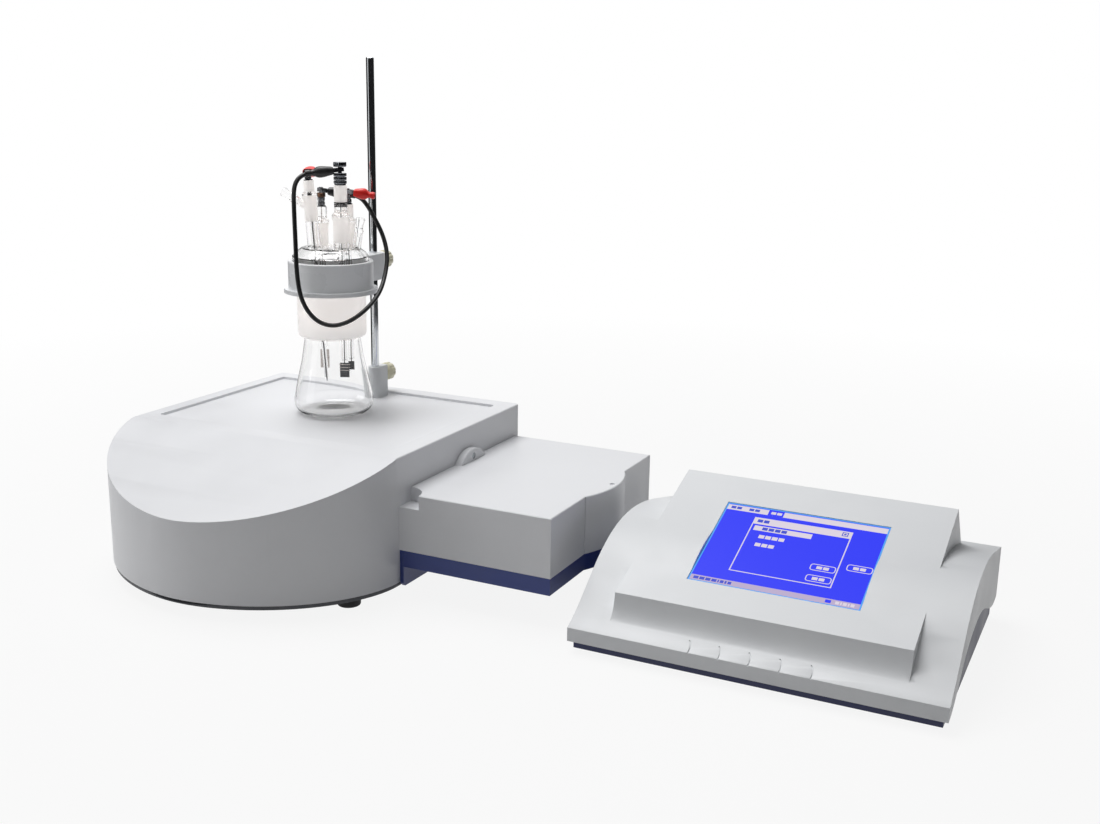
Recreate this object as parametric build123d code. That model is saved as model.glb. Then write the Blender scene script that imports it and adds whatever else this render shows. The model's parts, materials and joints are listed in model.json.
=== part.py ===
from build123d import *
import os
from math import atan2, cos, degrees, pi, radians, sin, tan

# Automatic titrator: a stirrer stand with a rod and a titration cell, a measuring unit docked on the
# stand's right wall, and a separate control unit.  Millimetres, +Z up, bench at Z = 0.
# Working frame: X = 0 on the stand's centre plane, Y = 0 at its back wall, the front towards -Y.
# Every solid is moved at export so that the whole stands centred on the origin.

# ---------------------------------------------------------------- driving dimensions: stirrer stand
FOOT_HEIGHT = 11.5
FOOT_RADIUS = 11.0
STAND_WIDTH = 300.0
STAND_STRAIGHT = 231.0      # back wall to where the round nose starts
STAND_NOSE = 122.5          # depth of the round nose
NOSE_POWER = 1.85           # superellipse power of the nose in plan
NOSE_DROP = 43.8            # fall of the top from deck rim to nose tip
NOSE_DROP_POWER = 1.175
STAND_HEIGHT = 119.0        # base plate's underside to deck rim
BASE_PLATE = 4.0
STAND_WALL = 3.0
DECK_WALL = 5.5
STAND_CORNER = 4.0
DECK_LEFT, DECK_RIGHT = -135.0, 131.0
DECK_FRONT, DECK_BACK = -213.0, -18.0
DECK_SINK = 2.5
PANEL_LIFT = 42.0           # height of the rear sockets' centres over the shell's edge

# rod, boss and clamp knobs
ROD_RADIUS = 4.0
ROD_TOP = 471.5             # over the bench
ROD_SETBACK = 38.0          # rod axis from the back wall
ROD_SOCKET = 24.0           # depth of the rod's seat in the boss
BOSS_RADIUS = 7.2
BOSS_REACH = 6.0            # how far the boss runs on behind the rod
BOSS_HEIGHT = 33.0
FIT = 0.05                  # running clearance on a shaft
SEAT = 0.3                  # gap between parts of different bodies
KNOB_RADIUS = 9.3
KNOB_LENGTH = 10.0
KNOB_LOBES = 10
SCREW_RADIUS = 2.5
KNOB_GAP = 3.2              # thread seen between a knob and what it clamps
BOSS_KNOB_LIFT = 23.5       # over the deck

# ---------------------------------------------------------------- driving dimensions: titration cell
CELL_SETBACK = 112.0        # cell axis from the stand's back wall
CELL_TURN = 25.85           # the lid's own right hand, turned about Z
GLASS = 2.0
FLASK_FOOT_RADIUS = 34.0
FLASK_BELLY_RADIUS = 39.0
FLASK_BELLY_HEIGHT = 13.5
FLASK_WAIST_RADIUS = 30.0
FLASK_WAIST_HEIGHT = 55.5
FLASK_NECK_RADIUS = 27.0
FLASK_NECK_HEIGHT = 77.5
COLLAR_RADIUS = 33.3
COLLAR_HEIGHT = 43.0
JOINT_TAPER = 0.1           # 1:10 ground joint, on the diameter
LID_RADIUS = 36.6
LID_RISE = 31.5             # holder's ledge to the lid's rim
LID_DOME = 8.0
RING_RADIUS = 41.0
RING_HEIGHT = 26.6
RING_WALL_GAP = 0.4         # lid to ring
FLANGE_RADIUS = 45.3
FLANGE_HEIGHT = 3.9
LEDGE = 3.6                 # thickness of the ledge that carries the lid
ARM_HALF_WIDTH = 11.5
ARM_ROOT = 8.0              # fillet where the arm leaves the ring
HOLDER_KNOB_LIFT = 17.6     # over the ring's lower edge
NECK_WALL = 1.6
NECK_LIP = 0.9              # a rim stands out this far round a neck
GRIP_RADIUS = 1.8           # waist of a terminal, where a clip bites
GRIP_HEIGHT = 5.4
STEM_RADIUS = 3.0
THIN_STEM_RADIUS = 2.2
STEM_WALL = 1.0
WIRE_RADIUS = 0.5
FOIL_THICKNESS = 0.4
SEAT_LENGTH = 11.0          # ground seat of an electrode in its neck
ARM_TUBE_RADIUS = 4.0       # side arms of the lid
STOPPER_PLUG = 4.0
STOPPER_GRIP = 14.5         # a stopper's height over the tube's rim
CLIP_LENGTH = 27.0
CLIP_HALF_HEIGHT = 1.8
BOOT_RADIUS = 6.4
BOOT_WALL = 1.0
BOOT_MOUTH = 7.5            # behind the bite
PIVOT_X = 11.5              # clip pivot behind the bite
PIN_RADIUS = 0.8
LEAD_DIAMETER = 4.2

# ---------------------------------------------------------------- driving dimensions: measuring unit
UNIT_WIDTH = 148.9
UNIT_FRONT, UNIT_BACK = -229.6, -9.2
UNIT_BOTTOM = 30.5          # over the bench
UNIT_SPLIT = 45.9           # parting line of cover and tray
UNIT_TOP = 99.0
UNIT_WALL = 2.5
BULGE_FRONT, BULGE_BACK = -161.4, -72.2
BULGE_OUT = 11.2
DOCK_THICKNESS = 4.0
LUG_RADIUS = 30.0
LUG_THICKNESS = 8.0
LUG_RISE = 11.5             # over the unit's top
LUG_Y = -109.0
SCOOP_RADIUS = 20.5
SCOOP_DEPTH = 13.0

# ---------------------------------------------------------------- driving dimensions: control unit
CONTROL_X = 481.0
CONTROL_FRONT = -262.0
CONTROL_WIDTH = 301.0
CONTROL_DEPTH = 240.0
CONTROL_WALL = 3.0
FASCIA_BOTTOM, FASCIA_TOP = 9.9, 21.6
BLOCK_WIDTH = 237.8
BLOCK_FRONT, BLOCK_FRONT_TOP = 22.4, 50.2
BLOCK_SETBACK, BLOCK_BACK_TOP = 51.4, 110.3     # the block's back edge, from the housing's back
BLOCK_LEAN = 38.0           # how far the block's back face leans out, down to the arch
BLOCK_BACK_FOOT = 66.0
RAMP_FOOT, RAMP_FOOT_TOP = 11.0, 27.3           # where the block's front runs out into the sill
SCREEN_WIDTH = 140.7
SCREEN_HEIGHT = 107.6
SCREEN_SHIFT = 1.5          # to the right of the block's middle
SCREEN_UP = 31.5            # from the block's front edge, along its slope
TOUCH_THICKNESS = 1.8
GROOVES = 5
GROOVE_PITCH = 24.2
GROOVE_WIDTH = 1.0
GROOVE_REACH = 11.0         # how far the grooves run back over the sill
GROOVE_DEEP = 0.8
CONTROL_FOOT_HEIGHT = 3.5
CONTROL_FOOT_RADIUS = 7.0
CONTROL_PILLAR_FOOT = 8.0   # where the upper housing's pillars stand on the lower shell's
LOWER_INSET = 4.0           # the lower shell stands back from the upper one
ARCH_BACK_TOP = 66.0
PANEL_DEEP = 0.6            # touch panel's face under the block's top
PANEL_GAP = 0.2             # touch panel to window
MODULE_OVERLAP = 6.0        # the display's frame reaches this far behind the window's edge
MODULE_THICKNESS = 5.6

# ---------------------------------------------------------------- worked out
shell_z = FOOT_HEIGHT + BASE_PLATE
rim_z = FOOT_HEIGHT + STAND_HEIGHT
deck_z = rim_z - DECK_SINK
half_stand = STAND_WIDTH / 2
rod_y = -ROD_SETBACK
cell_y = -CELL_SETBACK
boss_top = deck_z + BOSS_HEIGHT
boss_knob_z = deck_z + BOSS_KNOB_LIFT
flask_z = deck_z + SEAT
collar_top = flask_z + FLASK_NECK_HEIGHT + COLLAR_HEIGHT
flange_z = collar_top + SEAT
ring_z = flange_z + FLANGE_HEIGHT
ring_top = ring_z + RING_HEIGHT
ledge_z = flange_z + LEDGE
lid_rim = ledge_z + LID_RISE
lid_top = lid_rim + LID_DOME
holder_knob_z = ring_z + HOLDER_KNOB_LIFT
LEDGE_RADIUS = COLLAR_RADIUS - 0.3
JOINT_LENGTH = COLLAR_HEIGHT - 5
socket_top_radius = COLLAR_RADIUS - GLASS
socket_low_radius = socket_top_radius - JOINT_TAPER / 2 * (COLLAR_HEIGHT - 2)
cone_top_radius = socket_top_radius - SEAT
cone_low_radius = cone_top_radius - JOINT_TAPER / 2 * JOINT_LENGTH
cell_frame = Location((0, cell_y, 0), (0, 0, CELL_TURN))
unit_right = half_stand + UNIT_WIDTH
lug_hole_z = UNIT_TOP + 4.5
block_back = CONTROL_DEPTH - BLOCK_SETBACK
block_slope = degrees(atan2(BLOCK_BACK_TOP - BLOCK_FRONT_TOP, block_back - BLOCK_FRONT))

# electrodes, in the lid's own frame: (right, back) at the lid's top, then the lean to the right and back
ELECTRODES = {
    "main": (13.0, -12.0, 0.0, 0.0),
    "pair": (-11.0, 18.0, 0.004, 0.0),
    "thin": (-15.4, 0.0, -0.072, 0.03),
    "side": (17.0, 6.0, 0.0, 0.0),
}
NECK_RADIUS = {"main": 7.8, "pair": 6.3, "thin": 6.3, "side": 6.3}
NECK_RISE = {"main": 30.3, "pair": 21.8, "thin": 49.8, "side": 23.8}     # neck's rim over the lid's top
CAP_RADIUS = {"main": 6.2, "pair": 5.2, "thin": 5.0, "side": 5.0}
CAP_RISE = {"main": 30.0, "pair": 15.5, "thin": 14.5, "side": 17.0}     # cap's top over the neck's rim
TIP_REACH = {"main": 110.2, "pair": 103.2, "thin": 129.2, "side": 112.2}     # stem's tip under the lid's top
TERMINAL_RADIUS = {"main": 6.2, "pair": 3.6, "thin": 3.2, "side": 3.6}
BITE_RISE = {"main": 14.5, "pair": 16.0, "thin": 7.0, "side": 12.5}     # a clip's bite over the cap's top
FOILS = {"main": (9.0, 14.0), "pair": (9.0, 18.0), "thin": (0, 0), "side": (6.0, 8.0)}     # width, height
CLIPS = {"main": (205.0, 6.0), "pair": (0.0, 8.0), "thin": (90.0, 0.0), "side": (-8.0, 8.0)}    # heading, dip
# side arms: foot in the lid's frame, with its height over the lid's top, direction and length
SIDE_ARMS = {
    "left": ((-18.0, 0.8, 36.8), (-0.85, -0.05, 0.52), 17.0),       # out of the thin electrode's neck
    "right": ((25.5, -2.5, -3.2), (0.15, 0.0, 1.0), 18.0),          # out of the lid itself
}
neck_top = {name: lid_top + rise for name, rise in NECK_RISE.items()}
cap_top = {name: neck_top[name] + rise for name, rise in CAP_RISE.items()}
tip_z = {name: lid_top - reach for name, reach in TIP_REACH.items()}
bite_z = {name: cap_top[name] + rise for name, rise in BITE_RISE.items()}
# the lead's route in the lid's frame: (right, back, height), from the tail of one black clip to the other's
LEAD_ROUTE = [
    (-11.3, -23.3, 364.2), (-17.6, -26.2, 363.5), (-24.1, -30.3, 358.7), (-26.9, -34.5, 350.1),
    (-26.0, -40.4, 333.2), (-24.5, -45.5, 302.0), (-24.0, -47.5, 272.0), (-20.5, -48.0, 247.0),
    (-9.0, -48.0, 229.0), (7.0, -47.5, 222.5), (24.0, -46.0, 227.0), (39.5, -39.0, 238.0),
    (50.0, -22.0, 251.0), (53.5, -3.0, 267.0), (54.5, 8.0, 284.5), (49.5, 15.0, 302.5),
    (41.0, 17.8, 319.0), (32.3, 18.3, 334.2), (24.4, 18.0, 340.5), (16.0, 18.0, 341.7),
]

# stand fittings: rear sockets, pillars, feet and the stirring drive
STAND_INLET_X, STAND_SWITCH_X = -105.0, -66.0
STAND_SOCKETS_X = (40.0, 70.0, 100.0)
SOCKET_RADIUS = 7.8
INLET_WIDTH, INLET_HEIGHT = 27.0, 20.0
SWITCH_WIDTH, SWITCH_HEIGHT = 13.0, 19.5
SWITCH_WALL = 1.6
ROCKER_DEEP = 2.6
ROCKER_TILT = 8.0
PILLAR_RADIUS = 4.0
SCREW_CLEAR, SCREW_PILOT, SCREW_HEAD = 1.8, 1.5, 3.0
STAND_PILLARS = [(-138.0, -12.0), (138.0, -12.0), (-138.0, -225.0), (138.0, -225.0), (0.0, -335.0)]
STAND_FOOT_PLACES = [(-120.0, -32.0), (120.0, -32.0), (-118.0, -262.0), (118.0, -262.0)]
BOSS_SCREWS = [(0.0, rod_y + 9.6)]
LUG_SINK = 3.0
SHAFT_RADIUS = 2.0
MOTOR_RADIUS = 21.0
MOTOR_LENGTH = 42.0
MOTOR_TOP = 104.0
BRACKET_SHEET = 2.0
BRACKET_WIDTH, BRACKET_DEPTH = 76.0, 50.0
ROTOR_RADIUS = 27.0
ROTOR_BOTTOM = 107.0
ROTOR_HUB = 12.0
MAGNET_X = 16.0
MAGNET_RADIUS, MAGNET_HEIGHT = 8.0, 5.0
magnet_z = ROTOR_BOTTOM + ROTOR_HUB - 3
POST_RADIUS, POST_HEIGHT, POST_INSET = 3.0, 7.0, 8.0
STAND_BOARD_X, STAND_BOARD_Y = (-125.0, -50.0), (-170.0, -80.0)
SUPPLY_X, SUPPLY_Y = (55.0, 125.0), (-190.0, -80.0)
SUPPLY_HEIGHT = 32.0
VENT_PITCH, VENT_WIDTH = 12.0, 4.0
UNIT_BOARD_INSET = 22.0
CONTROL_BOARD_WIDTH = 220.0
CONTROL_BOARD_FRONT, CONTROL_BOARD_SETBACK = 70.0, 40.0
UNIT_PILLARS = [(half_stand + 14, UNIT_BACK - 12), (unit_right - 10, UNIT_BACK - 12),
                (half_stand + 26, UNIT_FRONT + 12), (unit_right - 10, UNIT_FRONT + 12)]
CONTROL_PILLAR_X = CONTROL_WIDTH / 2 - 20.5
CONTROL_PILLARS = [(x, y) for x in (-CONTROL_PILLAR_X, CONTROL_PILLAR_X) for y in (24.0, CONTROL_DEPTH - 35)]
CONTROL_FOOT_X = CONTROL_WIDTH / 2 - 25.5
CONTROL_FOOT_PLACES = [(x, y) for x in (-CONTROL_FOOT_X, CONTROL_FOOT_X) for y in (40.0, CONTROL_DEPTH - 52)]
CONTROL_INLET_X, CONTROL_SWITCH_X = -100.0, -62.0
CONTROL_SOCKETS_X = (10.0, 45.0, 80.0)
CONTROL_PANEL_Z = 44.0
UNIT_SOCKETS_X = (185.0, 215.0, 245.0)
UNIT_SOCKET_Z = 70.0
SOCKET_REACH = 8.5          # how far a socket's barrel stands out of its wall


# ---------------------------------------------------------------- helpers
def about(middle, half):
    """The span of half a width on each side of its middle."""
    return (middle - half, middle + half)


def slab(x_span, y_span, z_span):
    """A block between two X, two Y and two Z values."""
    (x0, x1), (y0, y1), (z0, z1) = x_span, y_span, z_span
    return Pos((x0 + x1) / 2, (y0 + y1) / 2, (z0 + z1) / 2) * Box(x1 - x0, y1 - y0, z1 - z0)


def drum(radius, z0, z1, x=0.0, y=0.0):
    """An upright cylinder between two heights."""
    return Pos(x, y, (z0 + z1) / 2) * Cylinder(radius, z1 - z0)


def lathe(outline):
    """Turn a closed outline of (radius, height) points about Z."""
    return revolve(Plane.XZ * make_face(Polyline(*outline, close=True)), Axis.Z)


def prism(outline, x0, x1):
    """Carry a closed (Y, Z) outline from x0 to x1."""
    face = Plane.YZ.offset(x0) * make_face(Polyline(*outline, close=True))
    return extrude(face, x1 - x0)


def in_cell(shape):
    """Set a shape drawn about the lid's own axes on the cell."""
    return cell_frame * shape


def joined(shapes):
    """Separate solids of one node."""
    return Compound(children=[solid for shape in shapes for solid in shape.solids()])


# ---------------------------------------------------------------- stirrer stand
def nose_point(inset, turn):
    """A point of the superellipse nose, turned from the right side (0) over the tip (90) to the left."""
    side, reach = abs(cos(radians(turn))), sin(radians(turn))
    x = (half_stand - inset) * side ** (2 / NOSE_POWER)
    return (x if turn < 90 else -x, -STAND_STRAIGHT - (STAND_NOSE - inset) * reach ** (2 / NOSE_POWER))


def stand_block(inset, bottom, top):
    """The stand's outer form, or its hollow, set in by inset: a round-nosed block with a falling front."""
    turns = (0, 6, 14, 30, 50, 70, 90, 110, 130, 150, 166, 174, 180)
    nose = Spline(*[nose_point(inset, turn) for turn in turns])
    back = Polyline(nose @ 1, (inset - half_stand, -inset), (half_stand - inset, -inset), nose @ 0)
    block = extrude(Pos(0, 0, bottom) * make_face([nose, back]), top - bottom)
    corners = block.edges().filter_by(Axis.Z).group_by(Axis.Y)[-1]
    block = fillet(corners, max(STAND_CORNER - inset, 0.5))

    def fall(share):
        return (-STAND_STRAIGHT - share * STAND_NOSE, top - NOSE_DROP * share ** NOSE_DROP_POWER)

    slope = Spline(fall(0), fall(0.25), fall(0.5), fall(0.75), fall(1.0))
    ahead = (-STAND_STRAIGHT - 1.2 * STAND_NOSE, top - 1.23 * NOSE_DROP)
    over = Polyline(slope @ 1, ahead, (ahead[0], top + 10), (-STAND_STRAIGHT, top + 10), slope @ 0)
    side = Plane.YZ.offset(-half_stand - 5) * make_face([slope, over])
    return block - extrude(side, STAND_WIDTH + 10)


def rear_windows():
    """Openings in the stand's back wall: power inlet, rocker switch and two round sockets."""
    z = shell_z + PANEL_LIFT
    depth = (-STAND_WALL - 2, 2)
    cuts = inlet_window(STAND_INLET_X, z, depth) + switch_window(STAND_SWITCH_X, z, depth)
    for x in STAND_SOCKETS_X:
        cuts += Pos(x, 0, z) * Rot(90, 0, 0) * Cylinder(SOCKET_RADIUS, 4 * STAND_WALL)
    return cuts


def stand_housing():
    """One-piece moulded housing, open below, with the sunk deck and its rear windows."""
    outer = stand_block(0, shell_z, rim_z)
    rim = outer.edges().filter_by(lambda e: e.center().Z > rim_z - 0.1 and e.center().Y > -STAND_STRAIGHT)
    outer = chamfer(rim, 0.8)
    hollow = stand_block(STAND_WALL, shell_z - 1, rim_z - DECK_WALL)
    deck = slab((DECK_LEFT, DECK_RIGHT), (DECK_FRONT, DECK_BACK), (deck_z, rim_z + 1))
    deck = fillet(deck.edges().filter_by(Axis.Z), 3)
    housing = outer - hollow - deck - rear_windows()
    for x, y in STAND_PILLARS:
        housing += drum(PILLAR_RADIUS, shell_z, rim_z, x, y) & stand_block(1, shell_z, rim_z - DECK_WALL + 1)
        housing -= drum(SCREW_PILOT, shell_z - 1, shell_z + 14, x, y)
    for x, y in BOSS_SCREWS:
        housing -= drum(SCREW_CLEAR, deck_z - 10, deck_z + 1, x, y)
    lug_screw = Pos(half_stand, LUG_Y, lug_hole_z) * Rot(0, 90, 0) * Cylinder(SCREW_PILOT, 20)
    return housing - lug_screw


def stand_base_plate():
    """Dark cover that closes the housing from below, with holes for its screws."""
    edge = 1.2
    plate = stand_block(edge, FOOT_HEIGHT, shell_z + 40)
    plate &= slab((-half_stand, half_stand), (-400, 10), (FOOT_HEIGHT, shell_z))
    for x, y in STAND_PILLARS:
        plate -= drum(SCREW_CLEAR, FOOT_HEIGHT - 1, shell_z + 1, x, y)
        plate -= drum(SCREW_HEAD + 0.3, FOOT_HEIGHT - 1, FOOT_HEIGHT + 2.4, x, y)
    return plate


def stand_feet():
    """Four round rubber feet under the base plate, slightly tapered."""
    outline = [(0, 0), (FOOT_RADIUS - 1.5, 0), (FOOT_RADIUS - 0.7, 0.8), (FOOT_RADIUS, FOOT_HEIGHT),
               (0, FOOT_HEIGHT)]
    return joined([Pos(x, y, 0) * lathe(outline) for x, y in STAND_FOOT_PLACES])


def case_screws():
    """Self-tapping screws: base plate, boss, measuring unit and its lug, control unit."""
    shank, length = SCREW_PILOT - 0.02, 12
    outline = [(0, 0), (SCREW_HEAD, 0), (SCREW_HEAD, 2.0), (shank, 2.2), (shank, length), (0, length)]
    screw = lathe(outline)
    places = [Pos(x, y, FOOT_HEIGHT + 0.2) for x, y in STAND_PILLARS]
    places += [Pos(x, y, deck_z - DECK_WALL + DECK_SINK - 2.2) for x, y in BOSS_SCREWS]
    places += [Pos(x, y, UNIT_BOTTOM + 0.2) for x, y in UNIT_PILLARS]
    places += [Pos(CONTROL_X + x, CONTROL_FRONT + y, CONTROL_FOOT_HEIGHT + 0.2) for x, y in CONTROL_PILLARS]
    lug_screw = Pos(half_stand + LUG_THICKNESS - LUG_SINK + 2.2, LUG_Y, lug_hole_z) * Rot(0, -90, 0) * screw
    return joined([place * screw for place in places] + [lug_screw])


def rod_boss():
    """Grey boss on the deck: round in front, square behind, bored for the rod and its clamp screw."""
    back = rod_y + BOSS_RADIUS + BOSS_REACH
    body = drum(BOSS_RADIUS, deck_z, boss_top, 0, rod_y)
    body += slab((-BOSS_RADIUS, BOSS_RADIUS), (rod_y, back), (deck_z, boss_top))
    body = fillet(body.edges().filter_by(Axis.Z).group_by(Axis.Y)[-1], 1.5)
    body = chamfer(body.edges().group_by(Axis.Z)[-1], 0.7)
    body -= drum(ROD_RADIUS + FIT, boss_top - ROD_SOCKET, boss_top + 1, 0, rod_y)
    body -= Pos(0, rod_y + 10, boss_knob_z) * Rot(90, 0, 0) * Cylinder(SCREW_RADIUS + FIT, 20)
    for x, y in BOSS_SCREWS:
        body -= drum(SCREW_PILOT, deck_z - 1, deck_z + 9.8 - DECK_WALL + DECK_SINK, x, y)
    return body


def support_rod():
    """Chromed rod with broken edges, standing in the boss."""
    foot = boss_top - ROD_SOCKET
    rod = drum(ROD_RADIUS, foot, ROD_TOP, 0, rod_y)
    return chamfer(rod.edges().filter_by(GeomType.CIRCLE), 0.6)


def clamp_knob(front_y, z):
    """Lobed plastic knob on the +Y side of a clamp, with a blind hole for its screw."""
    outline = [(0, 0), (KNOB_RADIUS * 0.62, 0), (KNOB_RADIUS, 2.6), (KNOB_RADIUS, KNOB_LENGTH - 1.6),
               (KNOB_RADIUS - 1.6, KNOB_LENGTH), (0, KNOB_LENGTH)]
    knob = lathe(outline)
    for lobe in range(KNOB_LOBES):
        turn = 360 / KNOB_LOBES * lobe
        flute = Rot(0, 0, turn) * Pos(KNOB_RADIUS + 1.1, 0, KNOB_LENGTH / 2) * Cylinder(2.0, KNOB_LENGTH + 2)
        knob -= flute
    knob -= drum(SCREW_RADIUS + 0.02, -1, 6)
    return Pos(0, front_y, z) * Rot(-90, 0, 0) * knob


def clamp_screw(tip_y, end_y, z):
    """Steel clamp screw along Y: a pointless tip against the rod, turned grooves for its thread."""
    pitch = 0.8
    length = end_y - tip_y
    outline = [(0, 0), (SCREW_RADIUS - 0.6, 0), (SCREW_RADIUS, 0.7), (SCREW_RADIUS, length), (0, length)]
    screw = lathe(outline)
    first = length - 6 - KNOB_GAP + 0.4
    for turn in range(int((KNOB_GAP - 0.4) / pitch)):
        z0 = first + turn * pitch
        rim = SCREW_RADIUS + 1
        screw -= lathe([(SCREW_RADIUS - 0.3, z0 + pitch / 2), (rim, z0), (rim, z0 + pitch)])
    return Pos(0, tip_y, z) * Rot(-90, 0, 0) * screw


# stirring drive
def motor_bracket():
    """Bent sheet bracket that stands on the base plate and carries the motor under the deck."""
    top = MOTOR_TOP + BRACKET_SHEET
    half, depth = BRACKET_WIDTH / 2, BRACKET_DEPTH / 2
    outline = [(-half - 14, shell_z), (-half - 14, shell_z + 2), (-half, shell_z + 2), (-half, top),
               (half, top), (half, shell_z + 2), (half + 14, shell_z + 2), (half + 14, shell_z),
               (half - 2, shell_z), (half - 2, MOTOR_TOP), (2 - half, MOTOR_TOP), (2 - half, shell_z)]
    face = Plane.XZ.offset(CELL_SETBACK - depth) * make_face(Polyline(*outline, close=True))
    bracket = extrude(face, BRACKET_DEPTH)
    return bracket - drum(SHAFT_RADIUS + 3, MOTOR_TOP - 1, top + 1, 0, cell_y)


def stir_motor():
    """Can motor with its shaft, hung under the bracket."""
    can = drum(MOTOR_RADIUS, MOTOR_TOP - MOTOR_LENGTH, MOTOR_TOP, 0, cell_y)
    can = fillet(can.edges().group_by(Axis.Z)[0], 2)
    can += drum(SHAFT_RADIUS + 2.5, MOTOR_TOP - 0.5, MOTOR_TOP + BRACKET_SHEET, 0, cell_y)
    return can + drum(SHAFT_RADIUS, MOTOR_TOP, ROTOR_BOTTOM + ROTOR_HUB - 1, 0, cell_y)


def stir_rotor():
    """Turning plate on the motor shaft, with two pockets for its magnets."""
    plate = drum(ROTOR_RADIUS, ROTOR_BOTTOM + ROTOR_HUB - 5, ROTOR_BOTTOM + ROTOR_HUB, 0, cell_y)
    plate += drum(SHAFT_RADIUS + 4, ROTOR_BOTTOM, ROTOR_BOTTOM + ROTOR_HUB, 0, cell_y)
    plate -= drum(SHAFT_RADIUS + FIT, ROTOR_BOTTOM - 1, ROTOR_BOTTOM + ROTOR_HUB - 0.7, 0, cell_y)
    for x in (-MAGNET_X, MAGNET_X):
        plate -= drum(MAGNET_RADIUS + 0.02, magnet_z, magnet_z + 10, x, cell_y)
    return plate


def stir_magnets():
    """Two disc magnets in the rotor's pockets."""
    top = magnet_z + MAGNET_HEIGHT
    return joined([drum(MAGNET_RADIUS, magnet_z, top, x, cell_y) for x in (-MAGNET_X, MAGNET_X)])


# electrics common to stand and control unit
def inlet_window(x, z, y_span):
    """Cut-out for a snap-in power inlet."""
    return slab(about(x, INLET_WIDTH / 2), y_span, about(z, INLET_HEIGHT / 2))


def switch_window(x, z, y_span):
    """Cut-out for a snap-in rocker switch."""
    return slab(about(x, SWITCH_WIDTH / 2), y_span, about(z, SWITCH_HEIGHT / 2))


def power_inlet(x, wall_y, z):
    """Three-pin inlet: bezel outside the wall, body behind it, socket with chamfered top corners, blades."""
    half_w, half_h = INLET_WIDTH / 2, INLET_HEIGHT / 2
    body = slab(about(x, half_w - 0.1), (wall_y - 22, wall_y), about(z, half_h - 0.1))
    bezel = slab(about(x, half_w + 1.7), (wall_y, wall_y + 2.2), about(z, half_h + 1.7))
    body += fillet(bezel.edges().filter_by(Axis.Y), 1.5)
    mouth = slab(about(x, half_w - 1.7), (wall_y - 14, wall_y + 3), about(z, half_h - 2.4))
    body -= chamfer(mouth.edges().filter_by(Axis.Y).group_by(Axis.Z)[-1], 4)
    for dx, dz in ((-7, -1.5), (0, 2.5), (7, -1.5)):
        body += slab(about(x + dx, 1), (wall_y - 15, wall_y - 4), about(z + dz, 2))
    return body


def switch_frame(x, wall_y, z):
    """Frame of a rocker switch, a well with ears for the rocker's pins."""
    half_w, half_h = SWITCH_WIDTH / 2, SWITCH_HEIGHT / 2
    body = slab(about(x, half_w - 0.1), (wall_y - 16, wall_y), about(z, half_h - 0.1))
    bezel = slab(about(x, half_w + 1.2), (wall_y, wall_y + 1.6), about(z, half_h + 1.2))
    body += fillet(bezel.edges().filter_by(Axis.Y), 1)
    body -= slab(about(x, half_w - SWITCH_WALL), (wall_y - 10, wall_y + 3), about(z, half_h - SWITCH_WALL))
    return body - Pos(x, wall_y - ROCKER_DEEP, z) * Rot(0, 90, 0) * Cylinder(1.0 + FIT, SWITCH_WIDTH - 1)


def rocker(x, wall_y, z):
    """Two-sided rocker on its pins, lying pressed at the top (off)."""
    half_w = SWITCH_WIDTH / 2 - SWITCH_WALL - SEAT
    reach = SWITCH_HEIGHT / 2 - SWITCH_WALL - 0.9
    outline = [(-1.6, 0), (-0.4, reach - 1.5), (1.1 + ROCKER_DEEP, reach), (0.8 + ROCKER_DEEP, 0),
               (1.1 + ROCKER_DEEP, -reach), (-0.4, 1.5 - reach)]
    face = Plane.YZ.offset(-half_w) * make_face(Polyline(*outline, close=True))
    body = extrude(face, 2 * half_w) + Rot(0, 90, 0) * Cylinder(1.0, SWITCH_WIDTH - 1.4)
    return Pos(x, wall_y - ROCKER_DEEP, z) * Rot(ROCKER_TILT, 0, 0) * body


def circuit_board(x_span, y_span, z, parts):
    """A board with plain blocks for its larger components, each (x, y, width, depth, height)."""
    board = slab(x_span, y_span, (z, z + 1.6))
    for x, y, width, depth, height in parts:
        board += slab(about(x, width / 2), about(y, depth / 2), (z + 1.5, z + 1.6 + height))
    return board


# ---------------------------------------------------------------- titration cell
def vessel_holder():
    """Ring, flange and arm in one moulding, bored for the rod, its clamp screw and the lid."""
    arm_half = ARM_HALF_WIDTH
    body = drum(RING_RADIUS, ring_z, ring_top, 0, cell_y)
    body += slab((-arm_half, arm_half), (cell_y, rod_y), (ring_z, ring_top))
    body += drum(arm_half, ring_z, ring_top, 0, rod_y)
    roots = body.edges().filter_by(Axis.Z).filter_by_position(Axis.Y, cell_y + 30, rod_y - 12)
    body = fillet(roots, ARM_ROOT)
    body = fillet(body.edges().group_by(Axis.Z)[-1], 1.2)
    body += drum(FLANGE_RADIUS, flange_z, ring_z, 0, cell_y)
    body -= drum(LID_RADIUS + RING_WALL_GAP, ledge_z, ring_top + 1, 0, cell_y)
    body -= drum(LEDGE_RADIUS, flange_z - 1, ledge_z + 1, 0, cell_y)
    body -= drum(ROD_RADIUS + FIT, flange_z - 1, ring_top + 1, 0, rod_y)
    bore = Pos(0, rod_y + 10, holder_knob_z) * Rot(90, 0, 0) * Cylinder(SCREW_RADIUS + FIT, 20)
    return body - bore


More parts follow.
